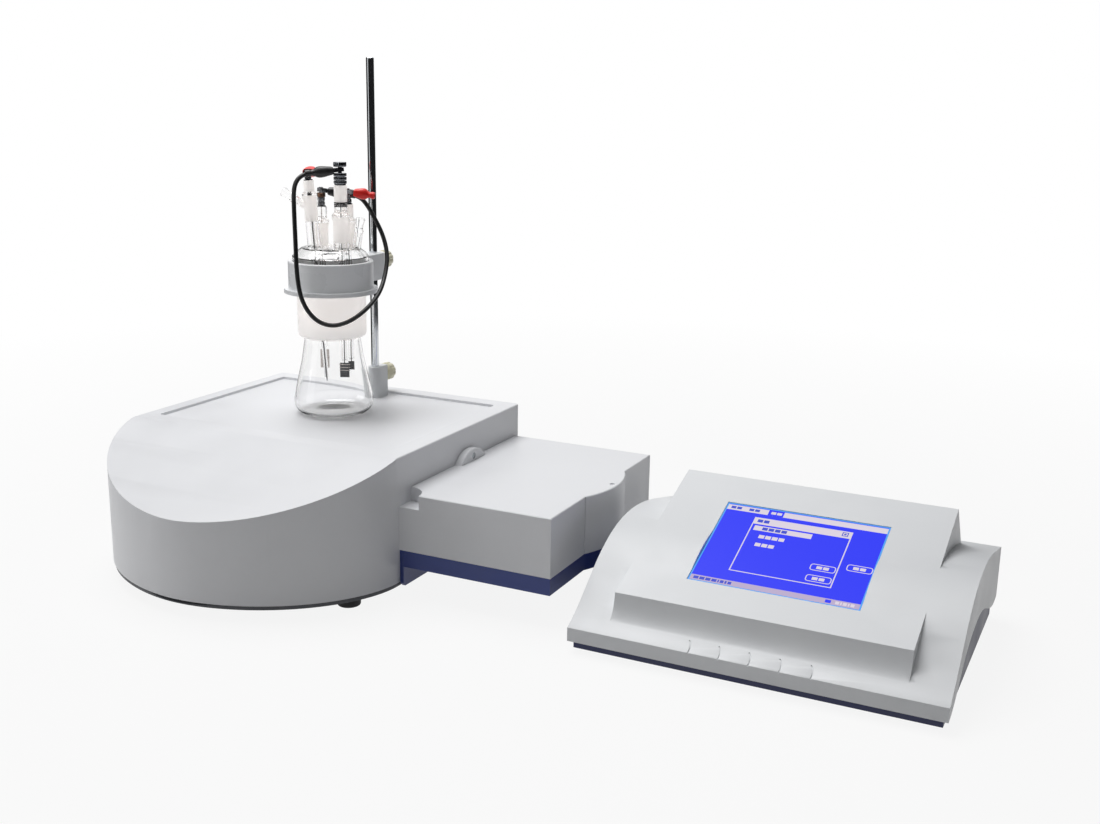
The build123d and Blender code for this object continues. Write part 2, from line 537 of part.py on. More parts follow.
def flask():
    """Blown flask with a rounded foot, conical wall and a ground collar that takes the lid's cone."""
    foot, belly, waist, neck = FLASK_FOOT_RADIUS, FLASK_BELLY_RADIUS, FLASK_WAIST_RADIUS, FLASK_NECK_RADIUS
    with BuildPart() as glass:
        with BuildSketch(Plane.XZ):
            with BuildLine():
                base = Line((0, 0), (foot - 4, 0))
                heel = Spline(base @ 1, (foot + 1.5, 2.6), (belly, FLASK_BELLY_HEIGHT),
                              tangents=[(1, 0), (0, 1)])
                wall = Line(heel @ 1, (waist, FLASK_WAIST_HEIGHT))
                top = Line(wall @ 1, (neck, FLASK_NECK_HEIGHT))
                mouth = FLASK_NECK_HEIGHT + COLLAR_HEIGHT
                lip = Polyline(top @ 1, (COLLAR_RADIUS - 1.5, FLASK_NECK_HEIGHT),
                               (COLLAR_RADIUS, FLASK_NECK_HEIGHT + 1.5), (COLLAR_RADIUS, mouth),
                               (socket_top_radius, mouth), (socket_low_radius, FLASK_NECK_HEIGHT + 2),
                               (neck - GLASS, FLASK_NECK_HEIGHT), (waist - GLASS, FLASK_WAIST_HEIGHT))
                inner = Line(lip @ 1, (belly - GLASS, FLASK_BELLY_HEIGHT))
                bowl = Spline(inner @ 1, (foot - 0.8, GLASS + 2.2), (foot - 5, GLASS),
                              tangents=[(0, -1), (-1, 0)])
                Line(bowl @ 1, (0, GLASS))
                Line((0, GLASS), (0, 0))
            make_face()
        revolve(axis=Axis.Z)
    return Pos(0, cell_y, flask_z) * glass.part


def cell_lid():
    """Glass lid: ground cone below, straight rim, low dome, four necks and two side arms, all open inside."""
    t = GLASS
    low = ledge_z - JOINT_LENGTH
    outer = [(cone_low_radius, low), (cone_top_radius, ledge_z - 2), (cone_top_radius, ledge_z),
             (LID_RADIUS, ledge_z), (LID_RADIUS, lid_rim), (LID_RADIUS - 3, lid_rim + 3.5),
             (LID_RADIUS - 9, lid_top), (0, lid_top)]
    inner = [(0, lid_top - t), (LID_RADIUS - 10, lid_top - t), (LID_RADIUS - 3 - t, lid_rim + 2),
             (LID_RADIUS - t, lid_rim - 1), (LID_RADIUS - t, ledge_z + t), (cone_top_radius - t, ledge_z + t),
             (cone_low_radius - t, low)]
    shell = lathe(outer + inner)
    for name, radius in NECK_RADIUS.items():
        lip = drum(radius + NECK_LIP, neck_top[name] - 3, neck_top[name])
        shell += electrode_axis(name) * (drum(radius, lid_top - t, neck_top[name]) + lip)
    for arm, (_, _, length) in SIDE_ARMS.items():
        shell += side_arm_axis(arm) * drum(ARM_TUBE_RADIUS, 0, length)
    for name, radius in NECK_RADIUS.items():
        shell -= electrode_axis(name) * drum(radius - NECK_WALL, lid_top - 3 * t, neck_top[name] + 1)
    for arm, (_, _, length) in SIDE_ARMS.items():
        shell -= side_arm_axis(arm) * drum(ARM_TUBE_RADIUS - NECK_WALL, 1, length + 1)
    return in_cell(shell)


def electrode_axis(name):
    """Frame whose Z runs up an electrode, at the lid's own heights."""
    x, y, lean_x, lean_y = ELECTRODES[name]
    direction = Vector(lean_x, lean_y, 1)
    top = Vector(x, y, lid_top)
    return Plane(origin=top - direction * lid_top, z_dir=direction).location


def side_arm_axis(arm):
    """Frame whose Z runs out along a side arm of the lid."""
    (x, y, rise), direction, _ = SIDE_ARMS[arm]
    return Plane(origin=(x, y, lid_top + rise), z_dir=direction).location


def stopper(arm):
    """Solid glass stopper of a side arm: a ground plug, a seat on the tube's rim and a flat grip."""
    rim, r = SIDE_ARMS[arm][2], ARM_TUBE_RADIUS
    plug = r - NECK_WALL - 0.15
    outline = [(0, -STOPPER_PLUG), (plug - 0.3, -STOPPER_PLUG), (plug, 0), (r, 0), (r + 0.6, 2),
               (r - 0.8, 5), (r + 0.6, STOPPER_GRIP - 1.5), (r - 0.6, STOPPER_GRIP), (0, STOPPER_GRIP)]
    return in_cell(side_arm_axis(arm) * Pos(0, 0, rim) * lathe(outline))


def electrode_stem(name):
    """Glass electrode: hollow stem, ground seat in the lid's neck, rim and cap tube."""
    rim, cap_radius, tip = neck_top[name], CAP_RADIUS[name], tip_z[name]
    stem = THIN_STEM_RADIUS if name == "thin" else STEM_RADIUS
    seat = NECK_RADIUS[name] - NECK_WALL - 0.1
    bore, flange = stem - STEM_WALL, NECK_RADIUS[name] + NECK_LIP
    outline = [(WIRE_RADIUS + 0.05, tip), (stem, tip), (stem, rim - SEAT_LENGTH - 0.6),
               (seat - 0.6, rim - SEAT_LENGTH), (seat, rim), (flange, rim), (flange, rim + 2.4),
               (cap_radius, rim + 4), (cap_radius, cap_top[name]), (bore, cap_top[name]),
               (bore, tip + 1.5), (WIRE_RADIUS + 0.05, tip + 1.5)]
    return in_cell(electrode_axis(name) * lathe(outline))


def electrode_terminal(name):
    """Turned metal terminal on an electrode's cap, with the waist that a clip bites."""
    low, base, collar = cap_top[name], CAP_RADIUS[name] * 0.86, TERMINAL_RADIUS[name]
    waist_low, waist_high = bite_z[name] - GRIP_HEIGHT / 2, bite_z[name] + GRIP_HEIGHT / 2
    outline = [(0, low), (base, low), (base, low + 1.6), (collar, low + 1.6), (collar, waist_low),
               (GRIP_RADIUS, waist_low), (GRIP_RADIUS, waist_high)]
    if name == "main":
        outline += [(collar, waist_high), (collar, waist_high + 4.4), (0, waist_high + 4.4)]
    else:
        outline += [(0, waist_high)]
    return in_cell(electrode_axis(name) * lathe(outline))


def electrode_foils():
    """Platinum foils with their wires, or a plain wire, hanging in the flask from each stem."""
    shapes = []
    half_sheet = FOIL_THICKNESS / 2
    for name, (width, height) in FOILS.items():
        tip = tip_z[name]
        wire = drum(WIRE_RADIUS, tip - 2, cap_top[name])
        if width:
            wire += slab((-width / 2, width / 2), (-half_sheet, half_sheet), (tip - 2 - height, tip - 1.5))
        shapes.append(in_cell(electrode_axis(name) * wire))
    return joined(shapes)


# clips: drawn with the bite at the origin, the tail along +X, the jaws closing sideways
def clip_frame(name):
    """Frame of a clip on its terminal: X towards the tail, Z along the pivot pin."""
    heading, dip = CLIPS[name]
    place = electrode_axis(name) * Pos(0, 0, bite_z[name])
    ahead = Vector(cos(radians(heading)), sin(radians(heading)), 0)
    side = Vector(-sin(radians(heading)), cos(radians(heading)), 0)
    tail = ahead * cos(radians(dip)) - Vector(0, 0, sin(radians(dip)))
    return cell_frame * Plane(origin=place.position, x_dir=tail, z_dir=tail.cross(side)).location


def jaw_outline(side, z0, z1):
    """Plan of one toothed jaw on the side of +Y or -Y, from its tip to the pivot."""
    gap = GRIP_RADIUS + SEAT
    tip, pitch, teeth = -3.4, 1.9, 4
    points = [(tip, gap)]
    for tooth in range(teeth):
        x = tip + 1.0 + tooth * pitch
        points += [(x, gap), (x + pitch / 2, gap + 0.5)]
    points += [(x + pitch, gap), (PIVOT_X - 2.6, 1.3), (PIVOT_X, 0.4), (PIVOT_X + 1.6, 1.2),
               (PIVOT_X + 0.6, 2.3), (PIVOT_X - 2, 2.9), (5, gap + 1.3), (tip + 0.8, gap + 1.0)]
    outline = [(x, side * y) for x, y in points]
    return extrude(Pos(0, 0, z0) * make_face(Polyline(*outline, close=True)), z1 - z0)


def clip_fixed_jaw(name):
    """Fixed jaw of a clip with its pivot pin and the barrel that takes the lead."""
    h, tongue_half, barrel_start = CLIP_HALF_HEIGHT, 0.75, PIVOT_X + 10
    jaw = jaw_outline(-1, -h, h)
    for z0, z1 in ((-h - 1, -tongue_half), (tongue_half, h + 1)):
        jaw -= slab((PIVOT_X - 2.6, PIVOT_X + 3), (-3.2, 3), (z0, z1))
    tongue = slab((PIVOT_X - 3, PIVOT_X + 5), (-1.7, 1.2), (-tongue_half, tongue_half))
    shank = slab((PIVOT_X + 3.4, PIVOT_X + 12), (-1.7, 1.2), (-h, h))
    pin = drum(PIN_RADIUS, -h - 0.4, h + 0.4, PIVOT_X, 0)
    length = CLIP_LENGTH - 1 - barrel_start
    barrel = Pos(barrel_start + length / 2, 0, 0) * Rot(0, 90, 0) * Cylinder(1.9, length)
    return clip_frame(name) * (jaw + tongue + shank + pin + barrel)


def clip_jaw(name):
    """Sprung jaw of a clip: toothed blade and two ears on the pivot pin."""
    h = CLIP_HALF_HEIGHT
    blade = jaw_outline(1, -h, h) - slab((PIVOT_X - 3.6, PIVOT_X + 4), (-3, 3.2), (-h - 1, h + 1))
    for z0, z1 in ((-h, -0.75 - 0.25), (0.75 + 0.25, h)):
        ear = jaw_outline(1, z0, z1) + drum(2.2, z0, z1, PIVOT_X, 0)
        blade += ear - drum(PIN_RADIUS + FIT, z0 - 1, z1 + 1, PIVOT_X, 0)
    return clip_frame(name) * blade


def clip_boot(name):
    """Soft sleeve over a clip: wide mouth, waist and a collar round the lead."""
    t, r, end = BOOT_WALL, BOOT_RADIUS, CLIP_LENGTH
    outer = [(r - 0.5, BOOT_MOUTH), (r, 12), (r - 0.9, 18), (r - 2.4, 22), (3.1, 24), (3.1, end)]
    inner = [(2.15, end), (1.95, end - 1), (1.95, 25), (r - 2.4 - t, 21.5), (r - 0.9 - t, 17.8), (r - t, 12),
             (r - 0.5 - t, BOOT_MOUTH)]
    return clip_frame(name) * Rot(0, 90, 0) * lathe(outer + inner)


def lead_path():
    """The jumper lead's route as straight runs and tangent arcs, each as large as its runs allow."""
    points = [cell_frame * Pos(*point) for point in LEAD_ROUTE]
    points = [place.position for place in points]
    runs = [(b - a).length for a, b in zip(points, points[1:])]
    radii = []
    for before, here, after, run_in, run_out in zip(points, points[1:], points[2:], runs, runs[1:]):
        turn = (here - before).get_angle(after - here)
        radii.append(0.45 * min(run_in, run_out) / tan(radians(turn / 2)))
    return points, runs, radii


def black_lead():
    """Test lead between the two black clips."""
    points, runs, radii = lead_path()
    path = FilletPolyline(*points, radius=radii)
    start = Plane(origin=points[0], z_dir=points[1] - points[0])
    tube = sweep(start * Circle(LEAD_DIAMETER / 2), path)
    print("lead runs", [round(run, 1) for run in runs])
    print("lead radii", [round(radius, 1) for radius in radii])
    full = pi * (LEAD_DIAMETER / 2) ** 2 * path.length
    print("lead length", round(path.length, 1), "volume over section x length", round(tube.volume / full, 4))
    return tube


# ---------------------------------------------------------------- measuring unit
def unit_plan(inset, left):
    """Plan of the unit: a rectangle with a bulge on its right side."""
    right, front, back = unit_right - inset, UNIT_FRONT + inset, UNIT_BACK - inset
    middle = (BULGE_FRONT + BULGE_BACK) / 2
    bulge_front, bulge_back = (right, BULGE_FRONT + inset), (right, BULGE_BACK - inset)
    bulge = ThreePointArc(bulge_front, (right + BULGE_OUT, middle), bulge_back)
    rest = Polyline(bulge @ 1, (right, back), (left, back), (left, front), (right, front), bulge @ 0)
    return make_face([bulge, rest])


def unit_cover():
    """Grey cover with a scooped front corner, a groove by the bulge and the lug that hangs on the stand."""
    cover = extrude(Pos(0, 0, UNIT_SPLIT) * unit_plan(0, half_stand), UNIT_TOP - UNIT_SPLIT)
    cover = chamfer(cover.edges().group_by(Axis.Z)[-1], 0.7)
    inner_plan = unit_plan(UNIT_WALL, half_stand + UNIT_WALL)
    hollow = extrude(Pos(0, 0, UNIT_SPLIT - 1) * inner_plan, UNIT_TOP - UNIT_SPLIT - UNIT_WALL + 1)
    scoop_floor = UNIT_TOP - SCOOP_DEPTH
    scoop = drum(SCOOP_RADIUS, scoop_floor, UNIT_TOP + 1, half_stand, UNIT_FRONT)
    scoop_wall = drum(SCOOP_RADIUS + UNIT_WALL, scoop_floor - UNIT_WALL, UNIT_TOP, half_stand, UNIT_FRONT)
    shell = cover - (hollow - scoop_wall) - scoop
    lug_centre = UNIT_TOP + LUG_RISE - LUG_RADIUS
    lug_place = Pos(half_stand + LUG_THICKNESS / 2, LUG_Y, lug_centre) * Rot(0, 90, 0)
    lug = lug_place * Cylinder(LUG_RADIUS, LUG_THICKNESS)
    lug_low, lug_high = UNIT_TOP - UNIT_WALL - 4, UNIT_TOP + 40
    lug &= slab((half_stand, half_stand + LUG_THICKNESS), (UNIT_FRONT, UNIT_BACK), (lug_low, lug_high))
    shell += chamfer(lug.edges().filter_by(GeomType.CIRCLE), 0.8)
    across = Pos(half_stand, LUG_Y, lug_hole_z) * Rot(0, 90, 0)
    shell -= across * Cylinder(SCREW_CLEAR, 40)
    shell -= Pos(LUG_THICKNESS, 0, 0) * across * Cylinder(SCREW_HEAD + 0.2, 2 * LUG_SINK)
    seam = (BULGE_FRONT - 0.5, BULGE_FRONT + 0.5)
    shell -= slab((unit_right - 0.8, unit_right + 1), seam, (UNIT_SPLIT - 1, UNIT_TOP + 1))
    for x in UNIT_SOCKETS_X:
        shell -= Pos(x, UNIT_BACK, UNIT_SOCKET_Z) * Rot(90, 0, 0) * Cylinder(SOCKET_RADIUS, 20)
    shell -= drum(2.5, UNIT_TOP - 1.2, UNIT_TOP + 1, unit_right + 5.5, -115.0)
    for x, y in UNIT_PILLARS:
        shell += drum(PILLAR_RADIUS, UNIT_SPLIT, UNIT_TOP - UNIT_WALL, x, y)
        shell -= drum(SCREW_PILOT, UNIT_SPLIT - 1, UNIT_SPLIT + 10, x, y)
    return shell


def unit_tray():
    """Blue tray under the cover, against the docking plate."""
    left = half_stand + DOCK_THICKNESS
    tray = extrude(Pos(0, 0, UNIT_BOTTOM) * unit_plan(0.4, left), UNIT_SPLIT - UNIT_BOTTOM)
    hollow = extrude(Pos(0, 0, UNIT_BOTTOM + UNIT_WALL) * unit_plan(UNIT_WALL, left + UNIT_WALL), 40)
    tray = tray - hollow
    for x, y in UNIT_PILLARS:
        tray += drum(PILLAR_RADIUS, UNIT_BOTTOM, UNIT_SPLIT, x, y)
        tray -= drum(SCREW_CLEAR, UNIT_BOTTOM - 1, UNIT_SPLIT + 1, x, y)
        tray -= drum(SCREW_HEAD + 0.3, UNIT_BOTTOM - 1, UNIT_BOTTOM + 2.4, x, y)
    return tray


def docking_plate():
    """Blue plate on the stand's wall that the measuring unit's tray hangs against."""
    depth = (UNIT_FRONT + 0.5, UNIT_BACK - 0.5)
    plate = slab((half_stand, half_stand + DOCK_THICKNESS), depth, (FOOT_HEIGHT, UNIT_SPLIT))
    return chamfer(plate.edges().filter_by(Axis.X).group_by(Axis.Z)[0], 3)


def round_sockets(places, wall_y):
    """Panel sockets: round flange and barrel outside, body through the wall, pin hole."""
    shapes = []
    for x, z in places:
        body, flange, sleeve, bore, pin_hole = SOCKET_RADIUS - 0.1, SOCKET_RADIUS + 1.6, 5.6, 4.8, 1.6
        outline = [(pin_hole, -8), (body, -8), (body, 0), (flange, 0), (flange, 2), (sleeve, 2.4),
                   (sleeve, SOCKET_REACH), (bore, SOCKET_REACH), (bore, 1), (pin_hole, 1)]
        shapes.append(Pos(x, wall_y, z) * Rot(-90, 0, 0) * lathe(outline))
    return shapes


# ---------------------------------------------------------------- control unit
def arch(drop=0.0, inset=0.0):
    """Side profile of the control unit's arched top: fascia, convex sill and falling back."""
    back = CONTROL_DEPTH
    points = [(0, FASCIA_TOP), (28, 39.0), (60, 63.0), (back - 140, 80.5), (back - 100, 84.5),
              (back - 55, 78.5), (back, ARCH_BACK_TOP)]
    points = [(min(max(y, inset), back - inset), z - drop) for y, z in points]
    return Spline(*points)


def side_solid(line, floor, half, y0, y1):
    """The solid under a profile line, from one side to the other."""
    under = Polyline(line @ 1, (y1, floor), (y0, floor), line @ 0)
    return extrude(Plane.YZ.offset(-half) * make_face([line, under]), 2 * half)


def screen_block(inset, half):
    """The raised block that holds the screen: sloping top, front hollowed out into the sill, leaning back."""
    top_inset = inset * 1.1
    edge = (BLOCK_FRONT + inset, BLOCK_FRONT_TOP - top_inset)
    foot = (RAMP_FOOT + inset * 0.5, RAMP_FOOT_TOP - inset * 0.85)
    ramp = Spline(edge, foot, tangents=[(-0.1, -1), (-0.85, -0.53)])
    lean = block_back + BLOCK_LEAN - inset
    rest = Polyline(foot, (foot[0], 20), (lean, 20), (lean, BLOCK_BACK_FOOT),
                    (block_back - inset, BLOCK_BACK_TOP - top_inset), edge)
    return extrude(Plane.YZ.offset(-half) * make_face([ramp, rest]), 2 * half)


def control_frame(shape):
    """Set a shape drawn from the control unit's front middle in its place on the bench."""
    return Pos(CONTROL_X, CONTROL_FRONT, 0) * shape


def slope_frame():
    """Frame on the block's sloping top: origin at the screen's lower middle, Y up the slope, Z out."""
    return Pos(SCREEN_SHIFT, BLOCK_FRONT, BLOCK_FRONT_TOP) * Rot(block_slope, 0, 0) * Pos(0, SCREEN_UP, 0)


def lower_edge(inset=0.0, drop=0.0):
    """The scalloped lower edge of the upper housing's sides, swung about the middle of its depth."""
    middle = CONTROL_DEPTH / 2
    scallop = [(middle - 86, 21), (middle - 56, 36.5), (middle - 24, 43.5), (middle + 7, 45),
               (middle + 40, 38.5), (middle + 76, 25.5)]
    points = [(inset, FASCIA_BOTTOM)] + scallop + [(CONTROL_DEPTH - inset / 4, 21)]
    return Spline(*[(y, z - drop) for y, z in points])


def control_housing():
    """Grey upper housing: arched body with the raised screen block, window, grooves and rear openings."""
    half, wall = CONTROL_WIDTH / 2, CONTROL_WALL
    body = side_solid(arch(), FASCIA_BOTTOM, half, 0, CONTROL_DEPTH)
    skin = body - Pos(0, 0, -GROOVE_DEEP) * body
    for groove in range(GROOVES):
        x = (groove - (GROOVES - 1) / 2) * GROOVE_PITCH
        line = ThreePointArc((x + 0.7, -1), (x + 1.4, GROOVE_REACH / 2), (x - 1.5, GROOVE_REACH))
        strip = extrude(trace(line, GROOVE_WIDTH), 60)
        body -= strip & skin
    body += screen_block(0, BLOCK_WIDTH / 2)
    inner = side_solid(arch(wall, wall), FASCIA_BOTTOM - 5, half - wall, wall, CONTROL_DEPTH - wall)
    inner += screen_block(wall, BLOCK_WIDTH / 2 - wall)
    body -= inner
    below = side_solid(lower_edge(), -5, half + 1, 0, CONTROL_DEPTH)
    body -= below
    window = slope_frame() * slab((-SCREEN_WIDTH / 2, SCREEN_WIDTH / 2), (0, SCREEN_HEIGHT), (-10, 5))
    body -= window
    z, depth = CONTROL_PANEL_Z, (CONTROL_DEPTH - 6, CONTROL_DEPTH + 2)
    body -= inlet_window(CONTROL_INLET_X, z, depth) + switch_window(CONTROL_SWITCH_X, z, depth)
    for x in CONTROL_SOCKETS_X:
        body -= Pos(x, CONTROL_DEPTH, z) * Rot(90, 0, 0) * Cylinder(SOCKET_RADIUS, 20)
    under_arch = side_solid(arch(1), 0, half, 0, CONTROL_DEPTH)
    for x, y in CONTROL_PILLARS:
        body += drum(PILLAR_RADIUS, CONTROL_PILLAR_FOOT, 200, x, y) & under_arch
        body -= drum(SCREW_PILOT, 0, 20, x, y)
    return control_frame(body)


def control_lower_shell():
    """Dark blue lower shell: stands back from the upper one and follows its scalloped edge."""
    half, wall, inset = CONTROL_WIDTH / 2 - LOWER_INSET, CONTROL_WALL, LOWER_INSET
    back, floor = CONTROL_DEPTH - inset / 4, CONTROL_FOOT_HEIGHT + wall
    body = side_solid(lower_edge(inset, SEAT), CONTROL_FOOT_HEIGHT, half, inset, back)
    body -= slab((-half + wall, half - wall), (inset + wall, back - wall), (floor, 90))
    for x, y in CONTROL_PILLARS:
        body += drum(PILLAR_RADIUS, CONTROL_FOOT_HEIGHT, CONTROL_PILLAR_FOOT, x, y)
        body -= drum(SCREW_CLEAR, 0, CONTROL_PILLAR_FOOT + 1, x, y)
        body -= drum(SCREW_HEAD + 0.3, 0, CONTROL_FOOT_HEIGHT + 2.4, x, y)
    return control_frame(body)


def control_feet():
    """Four rubber pads under the lower shell."""
    r = CONTROL_FOOT_RADIUS
    outline = [(0, 0), (r - 0.6, 0), (r, 0.6), (r, CONTROL_FOOT_HEIGHT), (0, CONTROL_FOOT_HEIGHT)]
    return control_frame(joined([Pos(x, y, 0) * lathe(outline) for x, y in CONTROL_FOOT_PLACES]))


def screen_slab(gap, low, high):
    """A plate of the window's size less a gap all round, between two heights over the block's top."""
    half = SCREEN_WIDTH / 2 - gap
    return slab((-half, half), (gap, SCREEN_HEIGHT - gap), (low, high))


def touch_panel():
    """Clear touch panel set in the window."""
    panel = screen_slab(PANEL_GAP, -TOUCH_THICKNESS - PANEL_DEEP, -PANEL_DEEP)
    return control_frame(slope_frame() * panel)


def display_module():
    """Liquid crystal module: lit face under the touch panel and a wider frame behind the housing's wall."""
    face = screen_slab(PANEL_GAP, -CONTROL_WALL - 4, -TOUCH_THICKNESS - PANEL_DEEP)
    half, top = SCREEN_WIDTH / 2 + MODULE_OVERLAP, -CONTROL_WALL * 1.1 - 0.4
    frame = slab((-half, half), (12, SCREEN_HEIGHT + MODULE_OVERLAP), (top - MODULE_THICKNESS, top))
    return control_frame(slope_frame() * (face + frame))


def board_on_posts(x_span, y_span, floor, parts):
    """A board with its parts, on a post near each of its corners."""
    board = circuit_board(x_span, y_span, floor + POST_HEIGHT, parts)
    for x in (x_span[0] + POST_INSET, x_span[1] - POST_INSET):
        for y in (y_span[0] + POST_INSET, y_span[1] - POST_INSET):
            board += drum(POST_RADIUS, floor, floor + POST_HEIGHT + 0.2, x, y)
    return board


def control_board():
    """Main board on four posts of the lower shell."""
    y0, y1 = CONTROL_BOARD_FRONT, CONTROL_DEPTH - CONTROL_BOARD_SETBACK
    parts = [(-70, y1 - 50, 40, 50, 18), (10, y1 - 60, 18, 18, 3), (50, y0 + 40, 26, 14, 4),
             (70, y1 - 40, 30, 20, 9)]
    half, floor = CONTROL_BOARD_WIDTH / 2, CONTROL_FOOT_HEIGHT + CONTROL_WALL
    return control_frame(board_on_posts((-half, half), (y0, y1), floor, parts))


# ---------------------------------------------------------------- inner pieces of stand and measuring unit
def stand_circuit_board():
    """Stirrer drive board on posts of the base plate."""
    (x0, x1), (y0, y1) = STAND_BOARD_X, STAND_BOARD_Y
    parts = [(x0 + 35, y1 - 25, 30, 22, 14), (x1 - 10, y1 - 15, 14, 14, 3), (x0 + 30, y0 + 20, 24, 12, 10)]
    return board_on_posts(STAND_BOARD_X, STAND_BOARD_Y, shell_z, parts)


def power_supply():
    """Enclosed supply with a row of vent slots, standing on the base plate."""
    (x0, x1), (y0, y1) = SUPPLY_X, SUPPLY_Y
    top = shell_z + SUPPLY_HEIGHT
    body = slab(SUPPLY_X, SUPPLY_Y, (shell_z, top))
    body = chamfer(body.edges().filter_by(Axis.Y), 1)
    for slot in range(int((y1 - y0 - 20) / VENT_PITCH)):
        y = y0 + 20 + slot * VENT_PITCH
        body -= slab((x0 + 10, x1 - 10), (y, y + VENT_WIDTH), (top - 2, top + 10))
    return body


def unit_board():
    """Measuring board on posts of the tray."""
    x0, x1 = half_stand + UNIT_BOARD_INSET, unit_right - UNIT_BOARD_INSET + 7
    y0, y1 = UNIT_FRONT + 40, UNIT_BACK - 26
    parts = [(x0 + 28, y1 - 25, 40, 30, 14), (x1 - 34, y1 - 65, 20, 20, 4), (x0 + 38, y0 + 40, 34, 26, 18)]
    return board_on_posts((x0, x1), (y0, y1), UNIT_BOTTOM + UNIT_WALL, parts)


SOCKETS = {
    "stand_sockets": ([(x, shell_z + PANEL_LIFT) for x in STAND_SOCKETS_X], 0.0, False),
    "unit_sockets": ([(x, UNIT_SOCKET_Z) for x in UNIT_SOCKETS_X], UNIT_BACK, False),
    "control_sockets": ([(x, CONTROL_PANEL_Z) for x in CONTROL_SOCKETS_X], CONTROL_DEPTH, True),
}


def panel_sockets(group):
    """The sockets of one rear panel."""
    places, wall_y, on_control = SOCKETS[group]
    shapes = joined(round_sockets(places, wall_y))
    return control_frame(shapes) if on_control else shapes


# ---------------------------------------------------------------- nodes
control_inlet = (CONTROL_X + CONTROL_INLET_X, CONTROL_FRONT + CONTROL_DEPTH, CONTROL_PANEL_Z)
control_switch = (CONTROL_X + CONTROL_SWITCH_X, CONTROL_FRONT + CONTROL_DEPTH, CONTROL_PANEL_Z)
stand_inlet = (STAND_INLET_X, 0.0, shell_z + PANEL_LIFT)
stand_switch = (STAND_SWITCH_X, 0.0, shell_z + PANEL_LIFT)
boss_back = rod_y + BOSS_RADIUS + BOSS_REACH
arm_back = rod_y + ARM_HALF_WIDTH
rod_back = rod_y + ROD_RADIUS

NODES = {
    "stand_housing": stand_housing,
    "stand_base_plate": stand_base_plate,
    "stand_feet": stand_feet,
    "case_screws": case_screws,
    "rod_boss": rod_boss,
    "support_rod": support_rod,
    "boss_clamp_screw": lambda: clamp_screw(rod_back + 0.1, boss_back + KNOB_GAP + 6, boss_knob_z),
    "boss_clamp_knob": lambda: clamp_knob(boss_back + KNOB_GAP, boss_knob_z),
    "motor_bracket": motor_bracket,
    "stir_motor": stir_motor,
    "stir_rotor": stir_rotor,
    "stir_magnets": stir_magnets,
    "stand_circuit_board": stand_circuit_board,
    "power_supply": power_supply,
    "power_inlets": lambda: joined([power_inlet(*stand_inlet), power_inlet(*control_inlet)]),
    "switch_frames": lambda: joined([switch_frame(*stand_switch), switch_frame(*control_switch)]),
    "stand_rocker": lambda: rocker(*stand_switch),
    "control_rocker": lambda: rocker(*control_switch),
    "docking_plate": docking_plate,
    "unit_cover": unit_cover,
    "unit_tray": unit_tray,
    "unit_board": unit_board,
    "vessel_holder": vessel_holder,
    "holder_clamp_screw": lambda: clamp_screw(rod_back + 0.1, arm_back + KNOB_GAP + 6, holder_knob_z),
    "holder_clamp_knob": lambda: clamp_knob(arm_back + KNOB_GAP, holder_knob_z),
    "titration_flask": flask,
    "cell_lid": cell_lid,
    "left_stopper": lambda: stopper("left"),
    "right_stopper": lambda: stopper("right"),
    "electrode_foils": electrode_foils,
    "clip_fixed_jaws": lambda: joined([clip_fixed_jaw(name) for name in CLIPS]),
    "black_lead": black_lead,
    "control_housing": control_housing,
    "control_lower_shell": control_lower_shell,
    "control_feet": control_feet,
    "touch_panel": touch_panel,
    "display_module": display_module,
    "control_board": control_board,
}
for name in ELECTRODES:
    NODES[f"{name}_electrode"] = lambda name=name: electrode_stem(name)
    NODES[f"{name}_terminal"] = lambda name=name: electrode_terminal(name)
    NODES[f"{name}_clip_boot"] = lambda name=name: clip_boot(name)
    NODES[f"{name}_clip_jaw"] = lambda name=name: clip_jaw(name)
for group in SOCKETS:
    NODES[group] = lambda group=group: panel_sockets(group)

# the whole is centred on the origin: between the stand's left wall and the control unit's right side, and
# between the control unit's rear sockets, the knobs and the lowest front
left_end = -half_stand
right_end = CONTROL_X + CONTROL_WIDTH / 2
front_end = -STAND_STRAIGHT - STAND_NOSE
back_end = SOCKET_REACH
to_origin = Pos(-(left_end + right_end) / 2, -(front_end + back_end) / 2, 0)

os.makedirs("parts", exist_ok=True)
for name, build in NODES.items():
    shape = to_origin * build()
    shape.label = name
    export_step(shape, f"parts/{name}.step")
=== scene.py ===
"""Bench titrator: the finished look of the stirrer stand, the titration cell, the measuring unit and the
control unit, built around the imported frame.  Lengths are metres in the frame; values called *_MM and all
outlines are millimetres.  Places in the cell are counted from the cell's axis, and heights from the bench."""

import json
from math import cos, degrees, radians, sin

import bmesh
import bpy
import numpy as np
from mathutils import Matrix, Vector

